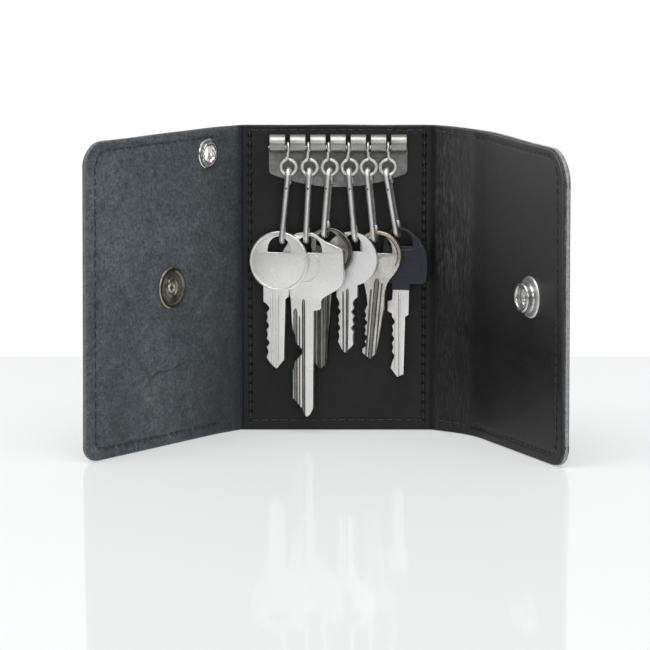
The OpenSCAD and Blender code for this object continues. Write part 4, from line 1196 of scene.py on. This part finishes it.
# key 3: round bow with a thick rim, behind key 2; its nickel is darkened as painted shade
c3 = (1.3, -6.0, 8.6)
zt, zb = on_circle(*c3, -4.8, 1), on_circle(*c3, -4.8, -1)
out3 = arc(*c3, ang(c3[0], c3[1], 2.55, on_circle(*c3, 2.55)), ang(c3[0], c3[1], -4.8, zt), 70)
out3 += arc(*c3, ang(c3[0], c3[1], -4.8, zb) % 360, ang(c3[0], c3[1], -3.4, on_circle(*c3, -3.4)) % 360, 6)
out3 += [(-3.4, -44.4), (-2.2, -46.2), (-1.4, -46.4), (0.7, -44.6), (2.4, -22)]
h3 = d_hole(1, -3.6, 5.2, -3, 5)
rim3 = sheet_metal("r", [arc(c3[0], c3[1], 8.3, -55, 60, 60) + arc(c3[0], c3[1], 7.05, 60, -55, 60)], 0.28, 0.1, y=-KT / 2, idx=3)
rim3b = sheet_metal("r", [arc(c3[0], c3[1], 8.55, -55, 135, 60) + arc(c3[0], c3[1], 7.5, 135, -55, 60)], 0.24, 0.09, y=KT / 2)
key(2, "round_key_3", "key_3", sheet_metal("k3", [out3, h3], KT, 0.25), KT, [rim3, rim3b],
    [(-1.9, -15, -1.9, -47, 1.2, 1.2, 0.6, -1, 3), (0.0, -15, -0.2, -47, 1.0, 0.9, 0.5, -1), (1.5, -15, 0.6, -46, 1.0, 0.7, 0.5, -1, 3)], [M_KEY3_SHADE], ("key_3",))
# key 4: sandblasted round bow, double-sided blade
c4 = (-1.6, -6.9, 9.35)
aL, aR = ang(c4[0], c4[1], -6.6, on_circle(*c4, -6.6)), ang(c4[0], c4[1], 0.9, on_circle(*c4, 0.9))
out4 = arc(*c4, aR, aL + 360 if aL < 0 else aL, 90)
out4 += [(-6.6, -20)] + cuts(-6, -21, 2.8, [0.5, 0.9, 0.4, 0.8, 0.5], 1) + [(-6, -35.6), (-4.3, -39), (-3.3, -39.4), (-0.6, -36.6)] + cuts(-0.3, -21, 2.8, [0.4, 0.8, 0.5, 0.9, 0.4], -1)[::-1] + [(0.9, -20)]
key(3, "blasted_key_4", "key_4", sheet_metal("k4", [out4, d_hole(-0.9, -4.2, 5.75, -4.5, 2.6)], KT, 0.22), KT, [],
    [(-2.6, -17.0, -2.8, -40.5, 1.0, 0.9, 0.55, -1), (-4.1, -18, -4.0, -39, 0.6, 0.6, 0.3, -1), (-3.2, -18, -3.2, -38, 1.2, 1.2, 0.4, 1)], [M_BLAST], ("key_4",))
# key 5: round bow worn to brass at its edges
c5 = (1.0, -5.4, 8.3)
out5 = arc(*c5, ang(c5[0], c5[1], 8.55, -8.8), ang(c5[0], c5[1], -5.2, on_circle(*c5, -5.2, 1)), 80)
out5 += chaikin([(-5.2, 0), (-5.2, -10.9), (-4.6, -12.4), (-3, -18.6), (-2.6, -22.6)], 1)
out5 += cuts(-3.6, -25, 2.6, [0.5, 0.9, 0.4, 0.8, 0.5], 1) + [(-4.4, -38), (-4.4, -39.4), (-1.7, -41.6), (0.7, -39.4), (3.2, -24)] + chaikin([(3.6, -18), (4.6, -14.6), (7, -11.8), (8.4, -9.4)], 1)
rim5 = sheet_metal("r", [arc(c5[0], c5[1], 8.2, -20, 132, 60) + arc(c5[0], c5[1], 7.6, 132, -20, 60)], 0.3, 0.13, y=-KT / 2, idx=1)
rim5b = sheet_metal("r", [arc(c5[0], c5[1], 7.3, -30, 132, 60) + arc(c5[0], c5[1], 6.95, 132, -30, 60)], 0.24, 0.1, y=-KT / 2, idx=3)
dot5 = sheet_metal("r", [arc(3.0, -8.6, 2.2, 0, 352, 50), arc(3.0, -8.6, 1.95, 352, 0, 50)], 0.18, 0.06, y=-KT / 2)
key(4, "worn_key_5", "key_5", sheet_metal("k5", [out5, d_hole(1.4, -4.7, 6.25, -3, 6.2)], KT, 0.22), KT, [rim5, rim5b, dot5],
    [(0.9, -13.4, -1.7, -42, 1.9, 1.5, 0.6, -1), (2.6, -15, 0.3, -40.5, 0.6, 0.5, 0.4, -1), (-1.2, -17, -3.0, -40.5, 0.7, 0.6, 0.4, -1)], [M_KEY5, M_BRASS], ("key_5",))
# key 6: dark plastic head, steel blade with brass edges
out6 = [(-1.6, -16), (-2, -22.6), (-3.6, -23), (-3.6, -26.6), (-2, -27.4)] + cuts(-2, -28.6, 3, [0.9, 0.4, 0.7, 0.4, 0.8], 1) + [(-2, -44.4), (-2.4, -46.4), (-0.1, -49.4), (2.2, -48.4), (2.7, -28.4), (3.9, -27.6), (4.1, -18), (3.8, -16)]
key(5, "key_6_steel_blade", "key_6", sheet_metal("k6", [out6], 1.6, 0.18), 1.6, [],
    [(0.6, -19.5, 0.6, -50, 0.8, 0.7, 0.4, -1), (-0.9, -27.5, -0.9, -47, 0.4, 0.4, 0.25, -1)], [M_KEY, M_BRASS], ("key_6_blade",))
top6 = chaikin([(-5.4, -9), (-5.4, -2.2), (-3, 1.4), (-1, 2.5), (1.5, 2.6), (4.5, 1.4), (7.6, -1.4), (8.8, -3), (8.8, -9)], 2)
grip6 = chaikin([(4.6, -16.9), (9.9, -16.9), (10.6, -14.8), (10.7, -8.5), (10.1, -5), (8.2, -2.6), (6.2, -4.9), (-3.9, -4.9), (-4.8, -2.8), (-5.5, -4.4), (-5.6, -14.5), (-4.8, -16.6), (-2.1, -17)], 2)
grip6 += [(-2.1, -19.1), (4.4, -19.1)]
h6 = d_hole(0.7, -3.9, 5.4, -3.2, 5.2)
hp = sheet_metal("h6", [top6, h6], 1.9, 0.4, res=4)
grip = sheet_metal("h6g", [grip6], 2.8, 0.55, res=4)
panel = sheet_metal("h6p", [chaikin([(-3.4, -7), (8.4, -7), (8.6, -14.4), (-3.6, -14.4), (-3.4, -7)], 2)[:-1]], 0.3, 0.1, y=-1.36)
key(5, "key_6_plastic_head", "key_6", hp, 1.9, [grip, panel], [], [M_PLASTIC], ("key_6_head",), angle=40)

# ---- stage --------------------------------------------------------------------------------------
def plane(name, x0, x1, y0, y1, z):
    me = bpy.data.meshes.new(name)
    me.from_pydata([(x0, y0, z), (x1, y0, z), (x1, y1, z), (x0, y1, z)], [], [(0, 1, 2, 3)])
    o = bpy.data.objects.new(name, me)
    coll.objects.link(o)
    return o


def shader(name, kind, glossy=0.0, color=(0.9, 0.9, 0.9), power=1.0):
    m = bpy.data.materials.new(name)
    m.use_nodes = True
    t = m.node_tree
    t.nodes.clear()
    out = t.nodes.new("ShaderNodeOutputMaterial")
    if kind == "emit":
        e = t.nodes.new("ShaderNodeEmission")
        e.inputs[0].default_value = (*color, 1)
        e.inputs[1].default_value = power
        t.links.new(e.outputs[0], out.inputs[0])
    else:
        d = t.nodes.new("ShaderNodeBsdfDiffuse")
        d.inputs[0].default_value = (*color, 1)
        g = t.nodes.new("ShaderNodeBsdfGlossy")
        g.inputs["Roughness"].default_value = 0.06
        g.inputs[0].default_value = (1, 1, 1, 1)
        x = t.nodes.new("ShaderNodeMixShader")
        x.inputs[0].default_value = glossy
        t.links.new(d.outputs[0], x.inputs[1])
        t.links.new(g.outputs[0], x.inputs[2])
        t.links.new(x.outputs[0], out.inputs[0])
    return m


def floor_mat():
    m = bpy.data.materials.new("pale_floor")
    m.use_nodes = True
    t = m.node_tree
    t.nodes.clear()
    N = lambda k: t.nodes.new(k)
    out, d, g, e, x1, x2 = N("ShaderNodeOutputMaterial"), N("ShaderNodeBsdfDiffuse"), N("ShaderNodeBsdfGlossy"), N("ShaderNodeEmission"), N("ShaderNodeMixShader"), N("ShaderNodeMixShader")
    d.inputs[0].default_value = (0.80, 0.81, 0.81, 1)
    g.inputs["Roughness"].default_value = 0.05
    g.inputs[0].default_value = (0.93, 0.96, 1.0, 1)
    e.inputs[0].default_value = (0.985, 1.0, 0.992, 1)
    tc, ln, mr = N("ShaderNodeTexCoord"), N("ShaderNodeVectorMath"), N("ShaderNodeMapRange")
    ln.operation = "LENGTH"
    t.links.new(tc.outputs["Object"], ln.inputs[0])
    t.links.new(ln.outputs["Value"], mr.inputs[0])
    for i, v in ((1, 0.45), (2, 1.3), (3, FLOOR_GLOW), (4, 0.10)):
        mr.inputs[i].default_value = v
    t.links.new(mr.outputs[0], e.inputs[1])
    x1.inputs[0].default_value = 0.5
    t.links.new(d.outputs[0], x1.inputs[1])
    t.links.new(e.outputs[0], x1.inputs[2])
    x2.inputs[0].default_value = 0.13
    t.links.new(x1.outputs[0], x2.inputs[1])
    t.links.new(g.outputs[0], x2.inputs[2])
    t.links.new(x2.outputs[0], out.inputs[0])
    return m


FLOOR_GLOW = 0.89
floor = plane("floor", -3, 3, -3, 0.163, -0.0001)
floor.data.materials.append(floor_mat())
sweep = plane("floor_behind", -3, 3, 0.163, 2.6, -0.0001)
sweep.data.materials.append(shader("white_sweep", "emit", power=1.03, color=(1, 1, 1)))
back = bpy.data.meshes.new("backdrop")
back.from_pydata([(-3, 2.6, -1), (3, 2.6, -1), (3, 2.6, 3), (-3, 2.6, 3)], [], [(0, 1, 2, 3)])
bo = bpy.data.objects.new("backdrop", back)
coll.objects.link(bo)
bo.data.materials.append(shader("white_backdrop", "emit", power=1.03, color=(1, 1, 1)))


def area(name, loc, target, size, power, color=(1, 1, 1)):
    l = bpy.data.lights.new(name, "AREA")
    l.shape, l.size, l.size_y, l.energy, l.color = "RECTANGLE", size[0], size[1], power, color
    o = bpy.data.objects.new(name, l)
    o.location = loc
    o.rotation_euler = (Vector(target) - Vector(loc)).to_track_quat("-Z", "Y").to_euler()
    coll.objects.link(o)
    return o


area("softbox_top", (-0.1, -0.35, 1.1), (0, 0, 0.05), (1.0, 0.7), 10.0)
area("softbox_front", (0.25, -1.5, 0.75), (0, 0, 0.05), (0.9, 0.6), 5.0)
area("strip_left", (-1.2, -0.35, 0.45), (0, 0, 0.05), (0.12, 0.9), 2.2)
area("strip_right", (1.2, -0.5, 0.45), (0, 0, 0.05), (0.12, 0.9), 1.6)

w = bpy.data.worlds.new("studio")
bpy.context.scene.world = w
w.use_nodes = True
t = w.node_tree
bg = t.nodes["Background"]
tc = t.nodes.new("ShaderNodeTexCoord")
sx = t.nodes.new("ShaderNodeSeparateXYZ")
rp = t.nodes.new("ShaderNodeValToRGB")
mr = t.nodes.new("ShaderNodeMapRange")
t.links.new(tc.outputs["Generated"], sx.inputs[0])
t.links.new(sx.outputs["Z"], mr.inputs[0])
mr.inputs[1].default_value, mr.inputs[2].default_value = -1, 1
t.links.new(mr.outputs[0], rp.inputs[0])
e = rp.color_ramp.elements
e[0].position, e[0].color = 0.48, (0.30, 0.305, 0.31, 1)
e[1].position, e[1].color = 0.80, (0.75, 0.75, 0.76, 1)
t.links.new(rp.outputs[0], bg.inputs[0])
bg.inputs[1].default_value = 0.6
